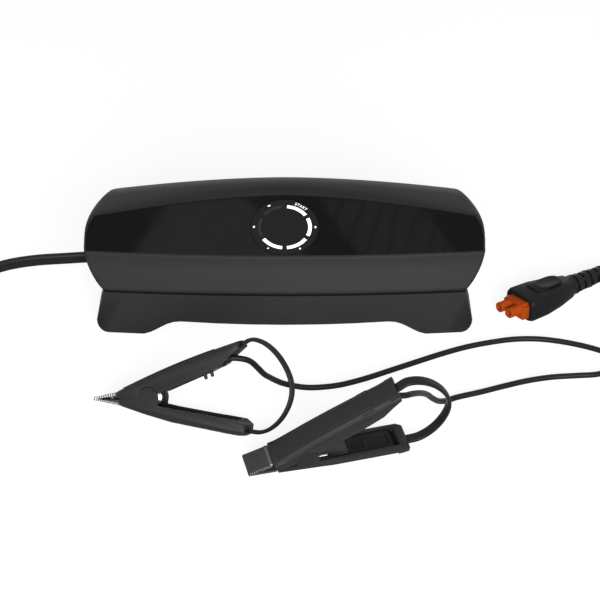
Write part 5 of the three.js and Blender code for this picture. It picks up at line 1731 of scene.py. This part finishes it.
@dataclass
class Display:
    """The display's small marks, laid on the button's face round the ring of lights.

    Attributes:
        along: How far up the slope the button's centre lies, in millimetres.
        sunk: Depth of the button's face under its surround.
        form: The housing whose slope it lies on.
        radius: Radius of the ring of marks.
        letter: Height of a letter.
        proud: Thickness of the print.
        gap: Height of the print's underside over the button's face.
    """

    along: float = 21.6
    sunk: float = 0.5
    form: HousingForm = HousingForm()
    radius: float = 17.95
    letter: float = 1.75
    proud: float = 0.03
    gap: float = 0.005

    def at(self, u: float, v: float, out: float = 0.0) -> Vector:
        """A point on the display, right and up the slope from the button's centre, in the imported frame."""
        lean = math.radians(self.form.slope_lean)
        foot_y, foot_z = self.form.slope_foot
        along, depth = self.along + v, out - self.sunk
        return placed(u, CHARGER_Y + foot_y + along * math.cos(lean) - depth * math.sin(lean),
                      foot_z + along * math.sin(lean) + depth * math.cos(lean))

    def on_ring(self, across: float, up: float, turn: float, out: float) -> Vector:
        """A point near the ring of marks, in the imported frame.

        Args:
            across: Clockwise from the mark's middle, in millimetres.
            up: Outwards from the ring.
            turn: The mark's angle, in degrees clockwise from the top.
            out: Height over the button's face.

        Returns:
            The point.
        """
        angle = math.radians(90 - turn)
        reach = self.radius + up
        return self.at(math.cos(angle) * reach + math.sin(angle) * across,
                       math.sin(angle) * reach - math.cos(angle) * across, out)

    def word(self, text: str, turn: float) -> Object:
        """Prints a word along the ring of marks.

        Args:
            text: The word.
            turn: Degrees clockwise from the top, at the word's middle.

        Returns:
            The print as one mesh.
        """
        curve = bpy.data.curves.new("word", "FONT")
        put(curve, body=text, size=self.letter * 1.4, space_character=1.2, offset=0.045, align_x="CENTER",
            extrude=self.proud / 2, resolution_u=3)
        writer = new_object("word", curve)
        bpy.context.view_layer.update()
        mesh = finished_mesh(writer)
        bpy.data.objects.remove(writer)
        for vertex in mesh.vertices:
            x, y, z = vertex.co
            turned = turn + math.degrees(x / self.radius)
            vertex.co = self.on_ring(0.0, y - self.letter / 2, turned, z + self.proud / 2 + self.gap)
        mesh.name = "start_word"
        return new_object("start_word", mesh)

    def build(self) -> None:
        """Builds the word and the five small signs."""
        white = PrintedWhite()
        dress(self.word("START", 33), Slot.LIT, "start_button", finish=white)
        signs = {
            "plug": ([(-0.75, -0.45), (0.2, -0.45), (0.2, -0.2), (0.8, -0.2), (0.8, 0.0), (0.2, 0.0),
                      (0.2, 0.2), (0.8, 0.2), (0.8, 0.4), (0.2, 0.4), (0.2, 0.65), (-0.75, 0.65)], 91),
            "full": ([(-0.4, -0.6), (0.4, -0.6), (0.4, 0.5), (0.2, 0.5), (0.2, 0.7), (-0.2, 0.7), (-0.2, 0.5),
                      (-0.4, 0.5)], 150),
            "warning": ([(-0.65, 0.5), (0.0, -0.6), (0.65, 0.5)][::-1], 212),
            "battery": ([(-0.65, -0.5), (0.65, -0.5), (0.65, 0.35), (0.45, 0.35), (0.45, 0.6), (0.2, 0.6),
                         (0.2, 0.35), (-0.2, 0.35), (-0.2, 0.6), (-0.45, 0.6), (-0.45, 0.35),
                         (-0.65, 0.35)], 270),
            "car": ([(-0.95, -0.4), (0.95, -0.4), (0.95, 0.1), (0.55, 0.15), (0.3, 0.55), (-0.4, 0.55),
                     (-0.65, 0.15), (-0.95, 0.1)], 329),
        }
        for name, (outline, turn) in signs.items():
            corners = [self.on_ring(x, y, turn, out) for out in (self.gap, self.proud) for x, y in outline]
            sign = mesh_object(f"sign_{name}", corners, ring_faces(2, len(outline)), smooth=False)
            dress(sign, Slot.LIT, "start_button", finish=white)


@dataclass
class Charger:
    """The charger's own pieces: shells, display, button, ring of lights, pads, screws and what is inside."""

    def build(self) -> None:
        """Builds and dresses them."""
        housing = smoothed("upper_housing", "housing_shell", HousingForm(), 0.9, 0.0026)
        dress(housing, Slot.HOUSING, replaces=("upper_housing",))
        panel = smoothed("gloss_panel", "display_panel", PanelForm(), 0.12, 0.006)
        dress(panel, Slot.GLOSS, replaces=("gloss_panel",))
        refit("base_tray", "tray_shell", 0.0, Slot.HOUSING)
        plan = {
            Slot.BUTTON: ("start_button",), Slot.LIT: tuple(f"ring_light_{i}" for i in range(1, 5)),
            Slot.UNLIT: ("ring_light_5", "ring_light_6"),
            Slot.STEEL: tuple(f"housing_screw_{i}" for i in range(1, 5)),
            Slot.BOARD: ("display_board", "main_board"), Slot.FERRITE: ("transformer", "output_choke"),
            Slot.ALUMINIUM: ("heat_sink",), Slot.SLEEVE: ("smoothing_capacitor",),
            Slot.SOCKET: ("output_socket", "button_switch"),
            Slot.RUBBER: tuple(f"rubber_pad_{i}" for i in range(1, 5)),
        }
        for slot, nodes in plan.items():
            for node in nodes:
                finish_node(node, slot)
        Display().build()


def main() -> None:
    """Builds the studio, the leads, the clamps and the charger, in that order."""
    logging.basicConfig(level=logging.INFO, format="%(name)s: %(message)s")
    Studio().build()
    mains = MainsLead()
    Plug().build()
    CoilTie().build(mains)
    mains.build()
    clamps = [Clamp("clamp_1", -20.0, 26.0), Clamp("clamp_2", 17.2, -18.0)]
    Junction().build()
    Connector().build()
    harness = Harness()
    harness.build_wires(clamps)
    harness.build_twin()
    for clamp in clamps:
        clamp.build()
    Charger().build()


if __name__ == "__main__":
    main()
